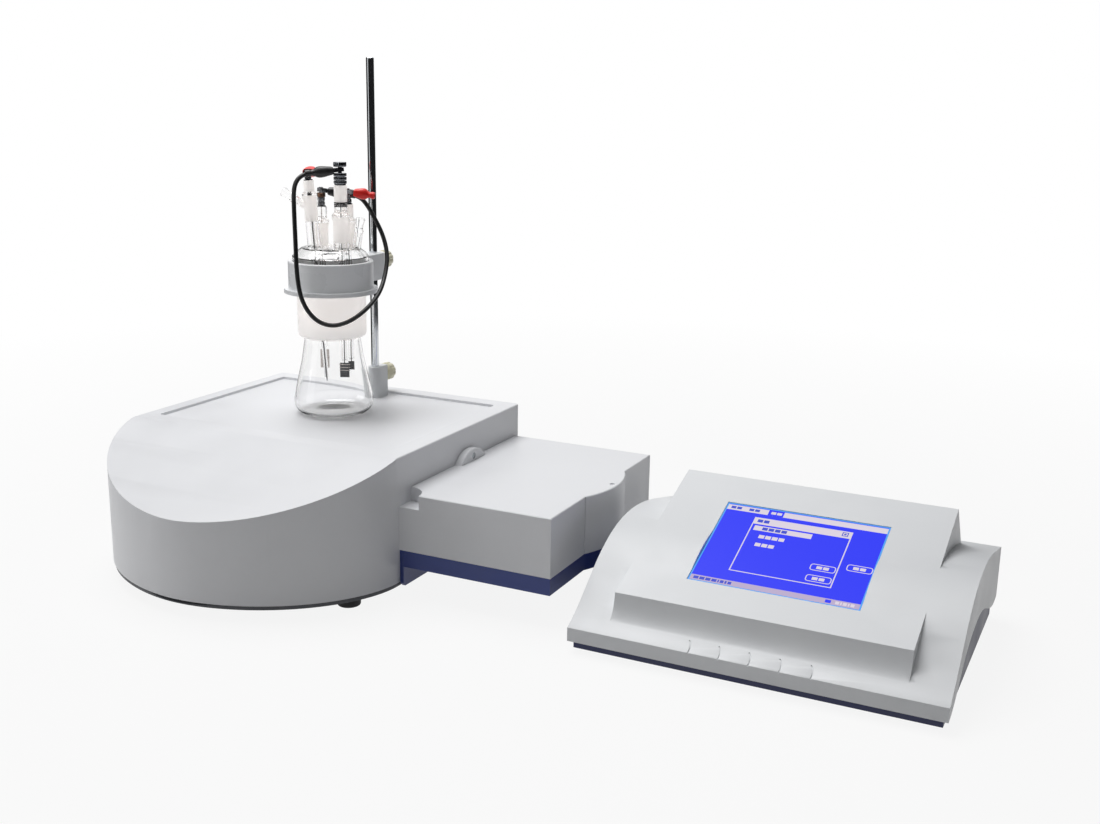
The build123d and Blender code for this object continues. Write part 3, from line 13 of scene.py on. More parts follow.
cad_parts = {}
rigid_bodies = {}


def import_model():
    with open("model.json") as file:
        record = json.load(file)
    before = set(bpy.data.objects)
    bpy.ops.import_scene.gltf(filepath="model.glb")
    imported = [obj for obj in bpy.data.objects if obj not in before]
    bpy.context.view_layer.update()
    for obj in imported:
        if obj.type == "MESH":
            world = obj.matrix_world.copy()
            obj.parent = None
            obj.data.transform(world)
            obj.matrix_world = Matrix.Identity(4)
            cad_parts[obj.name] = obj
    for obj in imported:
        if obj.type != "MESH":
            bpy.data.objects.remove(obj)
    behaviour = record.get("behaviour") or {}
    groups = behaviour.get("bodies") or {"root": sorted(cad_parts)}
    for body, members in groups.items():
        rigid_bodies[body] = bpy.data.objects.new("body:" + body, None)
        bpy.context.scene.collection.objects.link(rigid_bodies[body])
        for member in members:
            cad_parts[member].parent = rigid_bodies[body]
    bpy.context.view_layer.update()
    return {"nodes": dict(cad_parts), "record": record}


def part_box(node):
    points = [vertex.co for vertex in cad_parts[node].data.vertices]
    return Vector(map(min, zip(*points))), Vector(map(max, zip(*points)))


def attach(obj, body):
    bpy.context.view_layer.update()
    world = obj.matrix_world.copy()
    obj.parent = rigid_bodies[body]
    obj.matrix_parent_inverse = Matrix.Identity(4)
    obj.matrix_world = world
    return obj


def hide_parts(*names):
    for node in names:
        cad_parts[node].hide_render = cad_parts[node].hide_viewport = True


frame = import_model()

bl_info = {
    "name": "Bench titrator",
    "version": (1, 0, 0),
    "blender": (4, 5, 0),
    "location": "View3D > Sidebar > Titrator",
    "description": "Dresses a bench titrator: housings, glassware, electrodes, clips, lead and screen",
    "category": "Add Mesh",
}

MM = 0.001


# ---------------------------------------------------------------- places, worked out from the frame
def middle(node):
    """Centre of a node's box."""
    low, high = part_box(node)
    return (low + high) / 2


CELL_TURN = radians(25.85)  # the cell's frame faces the camera
CELL_MIDDLE = middle("titration_flask")
CELL_FRAME = Matrix.Translation((CELL_MIDDLE.x, CELL_MIDDLE.y, 0)) @ Matrix.Rotation(CELL_TURN, 4, "Z")
ROD_MIDDLE = middle("support_rod")
ELECTRODE_NAMES = ("main", "pair", "thin", "side")
# the electrodes' axes in the cell's frame: foot at LID_TOP_MM, then lean to the right and to the back per mm up
LID_TOP_MM = 292.2
ELECTRODE_AXES = {
    "main": (13.0, -12.0, 0.0, 0.0),
    "pair": (-11.0, 18.0, 0.004, 0.0),
    "thin": (-15.4, 0.0, -0.072, 0.03),
    "side": (17.0, 6.0, 0.0, 0.0),
}
# radius and rim height of each neck, radius and top of the cap, radius and tip of the stem, height of the bite
ELECTRODE_SIZES = {
    "main": {"neck": 7.8, "rim": 322.5, "cap": 6.2, "cap_top": 352.5, "stem": 3.0, "tip": 182.0, "bite": 367.0},
    "pair": {"neck": 6.3, "rim": 314.0, "cap": 5.2, "cap_top": 329.5, "stem": 3.0, "tip": 189.0, "bite": 345.5},
    "thin": {"neck": 6.3, "rim": 342.0, "cap": 5.0, "cap_top": 356.5, "stem": 2.2, "tip": 163.0, "bite": 363.5},
    "side": {"neck": 6.3, "rim": 316.0, "cap": 5.0, "cap_top": 333.0, "stem": 3.0, "tip": 180.0, "bite": 345.5},
}
TERMINAL_RADIUS_MM = {"main": 6.2, "pair": 3.6, "thin": 3.2, "side": 3.6}
WHITE_CAP_MM = {"main": 15.3, "thin": 10.0, "side": 12.0}  # frosted part under a terminal
FROSTED_NECK_MM = 24.0  # frosted part under a neck's rim
BITE_HEIGHT_MM, BITE_RADIUS_MM = 5.4, 1.8
NUT_PITCH_MM, NUT_GAP_MM = 4.2, 1.2  # terminal nuts: usual pitch, foot of the lowest
RING_MARKS, RING_MARK_PITCH_MM = 3, 1.7  # ink rings on the main electrode
FOIL_TURNS, FOIL_TURN_PITCH_MM = 3, 2.9  # turns of wire round the main foil
CARBON_WAIST_MM, CARBON_TOP_MM = 316, 345  # heights where the thin rod widens and ends
BRONZE_FOOT_MM = 338.6  # height of the bronze nut's foot
COLLAR_FOOT_MM, COLLAR_TOP_MM = 79, 121  # ground collar, over the flask's foot
CELL_REACH_MM = 50  # farther from the cell's axis than any joint
# heading of each clip's tail in the cell's frame, and its dip, in degrees
CLIP_HEADINGS = {"main": (205.0, 6.0), "pair": (0.0, 8.0), "thin": (90.0, 0.0), "side": (-8.0, 8.0)}
# the black lead's route in the cell's frame (right, back, height), as it hangs between the two black clips
LEAD_ROUTE_MM = [
    (-11.3, -23.3, 364.2), (-17.6, -26.2, 363.5), (-24.1, -30.3, 358.7), (-26.9, -34.5, 350.1),
    (-26.0, -40.4, 333.2), (-24.5, -45.5, 302.0), (-24.0, -47.5, 272.0), (-20.5, -48.0, 247.0),
    (-9.0, -48.0, 229.0), (7.0, -47.5, 222.5), (24.0, -46.0, 227.0), (39.5, -39.0, 238.0),
    (50.0, -22.0, 251.0), (53.5, -3.0, 267.0), (54.5, 8.0, 284.5), (49.5, 15.0, 302.5),
    (41.0, 17.8, 319.0), (32.3, 18.3, 334.2), (24.4, 18.0, 340.5), (16.0, 18.0, 341.7),
]


# ---------------------------------------------------------------- colours and node trees
def linear(hex_colour):
    """An sRGB hex colour as linear red, green, blue and alpha."""
    parts = [int(hex_colour[i:i + 2], 16) / 255 for i in (1, 3, 5)]
    return tuple(c / 12.92 if c <= 0.04045 else ((c + 0.055) / 1.055) ** 2.4 for c in parts) + (1.0,)


def add_node(tree, kind, settings=None, links=None):
    """One node with its settings (attributes or input values) and its links (input: output socket)."""
    new = tree.nodes.new(kind)
    for name, value in (settings or {}).items():
        if isinstance(name, str) and hasattr(new, name):
            setattr(new, name, value)
        else:
            new.inputs[name].default_value = value
    for name, source in (links or {}).items():
        tree.links.new(source, new.inputs[name])
    return new


def finish_material(name, **values):
    """A material with one Principled shader whose sockets take the given values."""
    material = bpy.data.materials.new(name)
    material.use_nodes = True
    tree = material.node_tree
    tree.nodes.clear()
    shader = add_node(tree, "ShaderNodeBsdfPrincipled",
                      {key.replace("_", " "): value for key, value in values.items()})
    add_node(tree, "ShaderNodeOutputMaterial", links={"Surface": shader.outputs[0]})
    material.diffuse_color = values.get("Base_Color", (0.8, 0.8, 0.8, 1))
    return material, tree, shader


def grained(name, light, dark, grain_mm, grain_depth_mm, mottle_mm=40.0, spread=0.06, **values):
    """A surface with fine relief and a slow, faint change of colour and roughness.

    Relief is noise of the given grain width; colour runs from dark to light over patches mottle_mm wide;
    roughness swings by spread about its value with the same patches."""
    roughness = values.pop("Roughness")
    material, tree, shader = finish_material(name, Base_Color=linear(light), Roughness=roughness, **values)
    place = add_node(tree, "ShaderNodeTexCoord").outputs["Object"]
    patches = add_node(tree, "ShaderNodeTexNoise", {"Scale": 1000 / mottle_mm, "Detail": 4.0}, {"Vector": place})
    tint = add_node(tree, "ShaderNodeMix", {"data_type": "RGBA", 6: linear(dark), 7: linear(light)},
                    {"Factor": patches.outputs[0]})
    tree.links.new(tint.outputs[2], shader.inputs["Base Color"])
    swing = add_node(tree, "ShaderNodeMapRange", {"From Min": 0.3, "From Max": 0.7, "To Min": roughness - spread,
                                                  "To Max": roughness + spread}, {"Value": patches.outputs[0]})
    tree.links.new(swing.outputs[0], shader.inputs["Roughness"])
    grain = add_node(tree, "ShaderNodeTexNoise", {"Scale": 1000 / grain_mm, "Detail": 2.0}, {"Vector": place})
    relief = add_node(tree, "ShaderNodeBump", {"Strength": 0.6, "Distance": grain_depth_mm * MM},
                      {"Height": grain.outputs[0]})
    tree.links.new(relief.outputs[0], shader.inputs["Normal"])
    return material


def make_materials():
    """Every finish of the titrator, by its common name."""
    m = {}
    # spark-eroded ABS: fine satin grain, pale warm grey, faintly uneven gloss; the grain is drawn at 1.2 mm
    # because the real 0.3 mm grain is too fine to show
    m["housing_abs"] = grained("moulded_abs_pale_grey", "#e4e5e8", "#dfe0e3", 1.2, 0.03, Roughness=0.42)
    # the same ABS for the control unit, one shade darker
    m["control_abs"] = grained("moulded_abs_light_grey", "#dddfe1", "#d8dadd", 1.2, 0.03, Roughness=0.42)
    # the same ABS, dark grey, for the cover underneath
    m["cover_abs"] = grained("moulded_abs_dark_grey", "#55575c", "#4b4d52", 1.2, 0.03, Roughness=0.5)
    # dyed ABS trays: deep blue, satin
    m["tray_abs"] = grained("moulded_abs_blue", "#33448a", "#2b3a78", 1.2, 0.03, Roughness=0.4)
    m["lower_abs"] = grained("moulded_abs_night_blue", "#262c5c", "#20254c", 1.2, 0.03, Roughness=0.45)
    # pigmented polyamide: light grey, slightly glossier than the housings
    m["grey_polyamide"] = grained("moulded_polyamide_grey", "#dfe1e3", "#d8dbdd", 0.9, 0.02, Roughness=0.34)
    # the same polyamide painted a little paler for the vessel holder: painted light, standing in for the stronger
    # light the holder catches
    m["pale_polyamide"] = grained("moulded_polyamide_painted_light", "#f0f1f3", "#e9ebed", 0.9, 0.02, Roughness=0.3)
    # cream urea moulding: glossy ivory
    m["cream_urea"] = grained("moulded_urea_cream", "#eeead2", "#e2ddc0", 2.5, 0.02, 12.0, Roughness=0.3)
    # vulcanised rubber: near black, dull
    m["rubber"] = grained("moulded_rubber_black", "#232325", "#1b1b1c", 0.8, 0.05, 15.0, Roughness=0.7)
    # soft PVC sleeves: black or red, smooth with a soft sheen
    m["black_pvc"] = grained("soft_pvc_black", "#2a2a2b", "#1d1d1e", 1.5, 0.06, 8.0, Roughness=0.38)
    m["red_pvc"] = grained("soft_pvc_red", "#f0241b", "#dd1d16", 1.5, 0.06, 8.0, Roughness=0.36)
    # extruded silicone insulation: black, satin
    m["lead_silicone"] = grained("extruded_silicone_black", "#1b1b1c", "#131314", 1.0, 0.02, 20.0, Roughness=0.36)
    # hard chrome on steel: mirror with faint drawing lines
    m["chrome"] = grained("hard_chrome_plate", "#d4d7da", "#c6cacd", 0.6, 0.004, 25.0, 0.03, Metallic=1.0,
                          Roughness=0.09)
    # turned, nickel-plated brass
    m["nickel"] = grained("nickel_plated_brass", "#8d9094", "#6e7175", 0.5, 0.01, 3.0, 0.08, Metallic=1.0,
                          Roughness=0.22)
    # zinc-plated steel: bluish grey, fine scratches
    m["zinc_steel"] = grained("zinc_plated_steel", "#b9bdc0", "#a6aaae", 0.5, 0.01, 6.0, 0.08, Metallic=1.0,
                              Roughness=0.33)
    # chromed brass of the large terminal: dark, sharp highlights
    m["dark_chrome"] = grained("dark_chrome_plate", "#93969a", "#707478", 0.5, 0.008, 3.0, 0.05, Metallic=1.0,
                               Roughness=0.16)
    # turned phosphor bronze, gone brown
    m["bronze"] = grained("turned_bronze", "#7a5a48", "#58463c", 0.5, 0.01, 2.0, 0.08, Metallic=1.0, Roughness=0.3)
    # bright platinum sheet, softly rolled
    m["platinum"] = grained("rolled_platinum_sheet", "#cbc4c1", "#aaa29f", 0.8, 0.01, 3.0, 0.08, Metallic=1.0,
                            Roughness=0.3)
    # ink rings burnt into the glass
    m["burnt_ink"] = grained("burnt_glass_ink", "#28282a", "#1a1a1c", 0.5, 0.005, 3.0, Roughness=0.5)
    # carbon rod
    m["carbon"] = grained("carbon_rod", "#1d1d1f", "#131315", 0.5, 0.01, 4.0, Roughness=0.45)
    # platinum black on foil: dark, almost dull metal
    m["platinum_black"] = grained("platinised_foil", "#5a5a5c", "#333335", 0.5, 0.02, 2.0, 0.1, Metallic=1.0,
                                  Roughness=0.45)
    # glass-fibre laminate: green lacquer
    m["laminate"] = grained("fr4_laminate_green", "#2f7044", "#255c37", 1.0, 0.02, 12.0, Roughness=0.4)
    # folded aluminium sheet
    m["aluminium"] = grained("folded_aluminium", "#c2c5c8", "#b2b5b9", 0.5, 0.01, 10.0, Metallic=1.0,
                             Roughness=0.35)
    # black polycarbonate fittings
    m["black_pc"] = grained("moulded_polycarbonate_black", "#232325", "#1a1a1b", 0.8, 0.02, 10.0, Roughness=0.3)
    m["glass"] = glass_finish()
    return m


def glass_finish():
    """Borosilicate glass, blown and fire-polished: clear, with frosted white bands where a joint is ground.

    The attribute "ground" runs from 0, clear, to 1, frosted.  It raises roughness, turns transmission into
    white scatter, and adds a painted glow: faint warm emission that stands in for the light a frosted wall
    takes in from all round."""
    # the warm emission colour is a painted glow for the frosted bands; the glass is no lamp
    material, tree, shader = finish_material("borosilicate_glass", Base_Color=linear("#ffffff"), Roughness=0.0,
                                             IOR=1.47, Transmission_Weight=1.0, Emission_Color=linear("#fff6f0"))
    ground = add_node(tree, "ShaderNodeAttribute", {"attribute_name": "ground"}).outputs["Fac"]
    # the Emission Strength row paints that glow: frosted bands glow faintly, clear glass not at all
    for socket, clear, frosted in (("Roughness", 0.0, 0.55), ("Transmission Weight", 1.0, 0.42),
                                   ("Emission Strength", 0.0, 0.15)):
        level = add_node(tree, "ShaderNodeMapRange", {"To Min": clear, "To Max": frosted}, {"Value": ground})
        tree.links.new(level.outputs[0], shader.inputs[socket])
    return material


# ---------------------------------------------------------------- mesh building
def new_object(name, mesh, material, body, replaced=()):
    """Links a mesh as a piece that rides on a body and, if named, stands for frame nodes."""
    piece = bpy.data.objects.new(name, mesh)
    bpy.context.scene.collection.objects.link(piece)
    if material is not None:
        mesh.materials.clear()
        mesh.materials.append(material)
    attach(piece, body)
    if replaced:
        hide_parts(*replaced)
    return piece


def body_of(node):
    """The body that a node belongs to."""
    return next(name for name, nodes in frame["record"]["behaviour"]["bodies"].items() if node in nodes)


def weld(mesh, distance=2e-6, flat=0.6):
    """Merges equal corners and joins triangles that lie flat beside each other."""
    form = bmesh.new()
    form.from_mesh(mesh)
    bmesh.ops.remove_doubles(form, verts=form.verts, dist=distance)
    bmesh.ops.dissolve_limit(form, angle_limit=radians(flat), verts=form.verts, edges=form.edges)
    form.to_mesh(mesh)
    form.free()
    return mesh


def smooth(mesh, sharp):
    """Smooth shading that breaks at edges sharper than the given angle in degrees."""
    mesh.shade_smooth()
    mesh.set_sharp_from_angle(angle=radians(sharp))
    return mesh


def eased(node, name, material, edge_mm, steps=3, sharp=28.0):
    """A merged copy of a frame node with its edges rounded by edge_mm; it stands for the node."""
    mesh = weld(frame["nodes"][node].data.copy())
    mesh.name = name
    smooth(mesh, sharp)
    piece = new_object(name, mesh, material, body_of(node), [node])
    rounding = piece.modifiers.new("edge", "BEVEL")
    rounding.width = edge_mm * MM
    rounding.segments = steps
    rounding.limit_method = "ANGLE"
    rounding.angle_limit = radians(sharp)
    rounding.harden_normals = True
    return piece


def surface(name, points, around=True, along=False):
    """A mesh over a grid of points: each cell of the grid is a face, and equal points of a pole are merged."""
    rows, columns = points.shape[:2]
    index = np.arange(rows * columns).reshape(rows, columns)
    if around:
        index = np.concatenate([index, index[:, :1]], axis=1)
    if along:
        index = np.concatenate([index, index[:1]], axis=0)
    faces = np.stack([index[:-1, :-1], index[:-1, 1:], index[1:, 1:], index[1:, :-1]], axis=-1).reshape(-1, 4)
    mesh = bpy.data.meshes.new(name)
    mesh.from_pydata(points.reshape(-1, 3).tolist(), [], faces.tolist())
    form = bmesh.new()
    form.from_mesh(mesh)
    bmesh.ops.remove_doubles(form, verts=form.verts, dist=1e-7)
    bmesh.ops.recalc_face_normals(form, faces=form.faces)
    form.to_mesh(mesh)
    form.free()
    return mesh


def rounded(outline, radius, steps=4):
    """Each corner of an outline becomes a parabola that leaves the runs beside it at radius, or nearer when
    a run is short: p(t) = (1-t)^2 a + 2t(1-t) corner + t^2 b."""
    corners = np.array(outline, float)
    before, after = np.roll(corners, 1, axis=0), np.roll(corners, -1, axis=0)
    run_in, run_out = before - corners, after - corners
    length_in = np.linalg.norm(run_in, axis=1, keepdims=True)
    length_out = np.linalg.norm(run_out, axis=1, keepdims=True)
    reach = np.minimum(radius, 0.45 * np.minimum(length_in, length_out))
    a, b = corners + run_in / length_in * reach, corners + run_out / length_out * reach
    t = np.linspace(0, 1, steps)[None, :, None]
    curve = (1 - t) ** 2 * a[:, None] + 2 * t * (1 - t) * corners[:, None] + t ** 2 * b[:, None]
    return curve.reshape(-1, 2)


def turned(name, outline, place, turns=64, flutes=()):
    """A turned shape: every (radius, height) of the outline, in mm, is carried round the place's Z axis.
    x = r cos a, y = r sin a, z = h.  Each of flutes is (low, high, number, depth): between those heights the
    radius falls by depth times half of 1 - cos(number a)."""
    outline = np.array(outline, float)
    angle = np.linspace(0, 2 * np.pi, turns, endpoint=False)
    radius, height = outline[:, :1] + 0 * angle, outline[:, 1:] + 0 * angle
    for low, high, number, depth in flutes:
        inside = (height > low) & (height < high)
        radius = np.where(inside, radius - depth * (1 - np.cos(number * angle)) / 2, radius)
    points = np.stack([radius * np.cos(angle), radius * np.sin(angle), height], axis=-1) * MM
    return surface(name, carried(points, place), around=True, along=True)


def carried(points, place):
    """Points, of any grid shape, carried by a 4 x 4 matrix."""
    return points @ np.array(place.to_3x3()).T + np.array(place.translation)


def electrode_place(name):
    """Frame of an electrode: Z along its axis, heights counted from the bench."""
    right, back, lean_right, lean_back = ELECTRODE_AXES[name]
    direction = Vector((lean_right, lean_back, 1)).normalized()
    origin = Vector((right, back, LID_TOP_MM)) - direction * LID_TOP_MM / direction.z
    turn = direction.to_track_quat("Z", "Y").to_matrix().to_4x4()
    return CELL_FRAME @ Matrix.Translation(origin * MM) @ turn


def clip_place(name):
    """Frame of a clip: origin at its bite, X towards the tail, Z along the pivot pin."""
    heading, dip = (radians(angle) for angle in CLIP_HEADINGS[name])
    side = Vector((-sin(heading), cos(heading), 0))
    tail = Vector((cos(heading) * cos(dip), sin(heading) * cos(dip), -sin(dip)))
    up = tail.cross(side)
    turn = Matrix((tail, up.cross(tail), up)).transposed().to_4x4()
    bite = CELL_FRAME.inverted() @ electrode_place(name) @ Vector((0, 0, ELECTRODE_SIZES[name]["bite"] * MM))
    return CELL_FRAME @ Matrix.Translation(bite) @ turn


# ---------------------------------------------------------------- settings
class TitratorFinishSettings(bpy.types.PropertyGroup):
    """Sizes of the details that a user would change."""
    case_edge: bpy.props.FloatProperty(
        name="Case edge", description="Rounding of the housings' edges", default=0.0012, unit="LENGTH")
    unit_edge: bpy.props.FloatProperty(
        name="Unit edge", description="Rounding of the measuring unit's edges", default=0.0006, unit="LENGTH")
    small_edge: bpy.props.FloatProperty(
        name="Small edge", description="Rounding of small metal and plastic pieces", default=0.0003, unit="LENGTH")
    lead_diameter: bpy.props.FloatProperty(
        name="Lead diameter", description="Outer diameter of the black lead", default=0.0042, unit="LENGTH")


class TitratorScreenSettings(bpy.types.PropertyGroup):
    """Colours of the lit screen."""
    page: bpy.props.FloatVectorProperty(
        name="Page", description="Blue of the lit page", subtype="COLOR", size=4, default=linear("#1c2cf4"))
    bar: bpy.props.FloatVectorProperty(
        name="Bar", description="Pale bars of the page", subtype="COLOR", size=4, default=linear("#d9d0dd"))
    rim: bpy.props.FloatVectorProperty(
        name="Rim", description="Light blue rim of the page", subtype="COLOR", size=4, default=linear("#4fa0f0"))


class TitratorStageSettings(bpy.types.PropertyGroup):
    """Light and floor."""
    key_power: bpy.props.FloatProperty(
        name="Key", description="Power of the large overhead lamp in watts", default=49.0)
    fill_power: bpy.props.FloatProperty(
        name="Fill", description="Power of the front lamp in watts", default=11.0)
    sky: bpy.props.FloatProperty(
        name="Sky", description="Strength of the even light from all round", default=0.17)


# ---------------------------------------------------------------- operators
class TITRATOR_OT_materials(bpy.types.Operator):
    """Makes every finish"""
    bl_idname = "titrator.materials"
    bl_label = "Finishes"

    def execute(self, context):
        MATERIALS.update(make_materials())
        return {"FINISHED"}


MATERIALS = {}


def dress(node, material):
    """Gives a frame node's own object a finish."""
    slots = frame["nodes"][node].data.materials
    slots.clear()
    slots.append(MATERIALS[material])


class TITRATOR_OT_stand(bpy.types.Operator):
    """Stirrer stand: housing, cover underneath and feet"""
    bl_idname = "titrator.stand"
    bl_label = "Stirrer stand"

    def execute(self, context):
        settings = context.scene.titrator_finish
        eased("stand_housing", "stand_case", MATERIALS["housing_abs"], settings.case_edge / MM)
        eased("stand_base_plate", "stand_cover", MATERIALS["cover_abs"], 0.6)
        eased("stand_feet", "stand_foot_set", MATERIALS["rubber"], 0.5)
        return {"FINISHED"}


class TITRATOR_OT_rod(bpy.types.Operator):
    """Boss, support rod, vessel holder and their clamps"""
    bl_idname = "titrator.rod"
    bl_label = "Rod and holder"

    def execute(self, context):
        eased("rod_boss", "boss_block", MATERIALS["grey_polyamide"], 0.5)
        dress("support_rod", "chrome")
        # the holder takes the paler copy of the same polyamide, which is painted light
        eased("vessel_holder", "holder_ring", MATERIALS["pale_polyamide"], 0.6)
        for clamp in ("boss", "holder"):
            eased(f"{clamp}_clamp_knob", f"{clamp}_knob", MATERIALS["cream_urea"], 0.4, sharp=20)
            dress(f"{clamp}_clamp_screw", "zinc_steel")
        return {"FINISHED"}


class TITRATOR_OT_drive(bpy.types.Operator):
    """Pieces inside the housings: stirring drive, boards and power supply"""
    bl_idname = "titrator.drive"
    bl_label = "Inner pieces"

    def execute(self, context):
        for node, material in (("motor_bracket", "zinc_steel"), ("stir_motor", "zinc_steel"),
                               ("stir_rotor", "aluminium"), ("stir_magnets", "nickel"),
                               ("stand_circuit_board", "laminate"),
                               ("power_supply", "aluminium"), ("unit_board", "laminate"),
                               ("control_board", "laminate"), ("case_screws", "zinc_steel")):
            dress(node, material)
        return {"FINISHED"}


def mark_ground(mesh, bands, fade=0.8):
    """Gives each corner its share of grinding.  A band is (low, high, place, reach), with heights in mm along
    the place's Z axis: 1 inside it and nearer than reach to that axis, falling to 0 over fade mm outside it.
    ground = clamp(1 - distance to the band / fade).  The mesh is first cut at the band's ends."""
    form = bmesh.new()
    form.from_mesh(mesh)
    for low, high, place, _ in bands:
        axis = place.to_3x3() @ Vector((0, 0, 1))
        for height in (low - fade, low, high, high + fade):
            everything = list(form.verts) + list(form.edges) + list(form.faces)
            bmesh.ops.bisect_plane(form, geom=everything, plane_co=place @ Vector((0, 0, height * MM)),
                                   plane_no=axis, dist=1e-6)
    form.to_mesh(mesh)
    form.free()
    spots = np.zeros(len(mesh.vertices) * 3)
    mesh.vertices.foreach_get("co", spots)
    spots = spots.reshape(-1, 3)
    ground = np.zeros(len(spots))
    for low, high, place, reach in bands:
        local = carried(spots, place.inverted()) / MM
        outside = np.maximum(np.maximum(low - local[:, 2], local[:, 2] - high), 0)
        share = np.clip(1 - outside / fade, 0, 1)
        ground = np.maximum(ground, np.where(np.hypot(local[:, 0], local[:, 1]) < reach, share, 0))
    # this share also sets the painted glow of the frosted glass, besides its roughness and scatter
    mesh.attributes.new("ground", "FLOAT", "POINT").data.foreach_set("value", ground.astype(np.float32))


def flask_outline(foot_z):
    """Outline of the blown flask: foot, heel, conical wall, shoulder, ground collar, and back down inside."""
    wall = 2.0
    outside = [(0, 0), (28, 0), (33, 1.2), (37, 5), (38.8, 10), (39, 14.5), (38.2, 19), (35, 34), (31.5, 49),
               (29.4, 60), (27.6, 72), (27.2, 76.0), (29.5, 77.4), (32.2, 78), (33.3, 80.5), (33.3, 119.5),
               (32.9, 120.5)]
    inside = [(31.4, 120.5), (29.2, 79.5), (26.4, 78), (25.2, 76), (25.7, 72), (27.4, 60), (29.5, 49), (33.0, 34),
              (36.2, 19), (37, 14.5), (36.8, 10), (35, 5.8), (31.5, 3.2), (27, wall), (0, wall)]
    return [(r, z + foot_z) for r, z in rounded(outside + inside, 3.0)]


class TITRATOR_OT_glass(bpy.types.Operator):
    """Flask, lid and stoppers"""
    bl_idname = "titrator.glass"
    bl_label = "Glassware"

    def execute(self, context):
        foot_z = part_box("titration_flask")[0].z / MM
        mesh = smooth(turned("flask_glass", flask_outline(foot_z), CELL_FRAME, turns=128), 60)
        mark_ground(mesh, [(foot_z + COLLAR_FOOT_MM, foot_z + COLLAR_TOP_MM, CELL_FRAME, CELL_REACH_MM)])
        new_object("flask_glass", mesh, MATERIALS["glass"], "vessel",
                   ["titration_flask"])
        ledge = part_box("vessel_holder")[0].z / MM + 3
        lid = eased("cell_lid", "lid_glass", MATERIALS["glass"], 0.35, steps=2)
        necks = [(size["rim"] - FROSTED_NECK_MM, size["rim"] - 1, electrode_place(name), size["neck"] + 1.5)
                 for name, size in ELECTRODE_SIZES.items()]
        mark_ground(lid.data, [(200, ledge, CELL_FRAME, CELL_REACH_MM)] + necks)
        for node in ("left_stopper", "right_stopper"):
            stopper = eased(node, f"{node}_glass", MATERIALS["glass"], 0.3, steps=2)
            mark_ground(stopper.data, [])
        return {"FINISHED"}


def stem_outline(size):
    """Outline of an electrode's glass: stem, ground seat, rim, cap tube, and back down inside."""
    seat, flange, bore, wall = size["neck"] - 1.7, size["neck"] + 0.9, size["stem"] - 1.0, 1.3
    rim, cap, top, tip, stem = size["rim"], size["cap"], size["cap_top"], size["tip"], size["stem"]
    outside = [(0.55, tip), (stem, tip), (stem, rim - 14), (seat - 0.6, rim - 10.5), (seat, rim), (flange, rim),
               (flange, rim + 2.4), (cap, rim + 4), (cap, top)]
    inside = [(cap - wall, top), (cap - wall, rim + 6), (bore, rim + 2), (bore, tip + 1.6), (0.55, tip + 1.6)]
    return rounded(outside + inside, 1.1)


def nut(radius, low, high):
    """Outline of a round nut with turned chamfers."""
    edge = min(0.5, (high - low) / 4)
    return [(radius * 0.7, low), (radius - edge, low), (radius, low + edge), (radius, high - edge),
            (radius - edge, high), (radius * 0.7, high)]


def terminal_piece(name, material):
    """Turned terminal: knurled nuts with grooves between them, the waist that a clip bites, and a top nut."""
    size, radius = ELECTRODE_SIZES[name], TERMINAL_RADIUS_MM[name]
    low = size["cap_top"]
    waist_low, waist_high = size["bite"] - BITE_HEIGHT_MM / 2, size["bite"] + BITE_HEIGHT_MM / 2
    count = max(1, round((waist_low - low - NUT_GAP_MM) / NUT_PITCH_MM))
    pitch = (waist_low - low - NUT_GAP_MM) / count
    outline = [(0, low), (size["cap"] * 0.86, low), (size["cap"] * 0.86, low + 1.0)]
    nuts = [(low + NUT_GAP_MM + i * pitch, low + 0.8 + (i + 1) * pitch) for i in range(count)]
    if name == "main":
        nuts.append((waist_high, waist_high + 4.4))
    for bottom, top in nuts[:count]:
        outline += nut(radius, bottom, top)
    outline += [(BITE_RADIUS_MM, waist_low), (BITE_RADIUS_MM, waist_high)]
    for bottom, top in nuts[count:]:
        outline += nut(radius, bottom, top)
    outline.append((0, outline[-1][1]))
    flutes = [(bottom + 0.3, top - 0.3, 24, 0.45) for bottom, top in nuts]
    mesh = smooth(turned(f"{name}_terminal_post", outline, electrode_place(name), 192, flutes), 40)
    node = f"{name}_terminal"
    return new_object(mesh.name, mesh, MATERIALS[material], "holder", [node])


def inner_rod(name, piece, outline, material):
    """A turned extra piece on an electrode's axis, inside its glass or round it."""
    mesh = smooth(turned(piece, outline, electrode_place(name), 32), 40)
    return new_object(piece, mesh, MATERIALS[material], "holder")


def foil_pieces():
    """Foils with their wires: a merged copy of the frame node, the wide pair foil bright, the others dark."""
    foils = eased("electrode_foils", "foil_set", MATERIALS["platinum_black"], 0.05, steps=1)
    foils.data.materials.append(MATERIALS["platinum"])
    axis = electrode_place("pair").translation
    for face in foils.data.polygons:
        face.material_index = int((Vector(face.center).xy - axis.xy).length < 7 * MM)
    # three turns of white wire round the main foil's top: a long loop, x = a cos t, y = b sin t, tube radius c
    half_width, half_depth, tube = 4.9, 0.75, 0.4
    turn = np.linspace(0, 2 * np.pi, 64, endpoint=False)[:, None]
    around = np.linspace(0, 2 * np.pi, 12, endpoint=False)[None, :]
    size = ELECTRODE_SIZES["main"]
    for number in range(FOIL_TURNS):
        height = size["tip"] - 3.2 - FOIL_TURN_PITCH_MM * number + 0 * turn + 0 * around
        spread = tube * np.cos(around)
        loop = np.stack([(half_width + spread) * np.cos(turn), (half_depth + spread) * np.sin(turn),
                         height + tube * np.sin(around)], axis=-1) * MM
        mesh = smooth(surface(f"foil_turn_{number}", carried(loop, electrode_place("main")), True, True), 60)
        new_object(mesh.name, mesh, MATERIALS["platinum"], "holder")


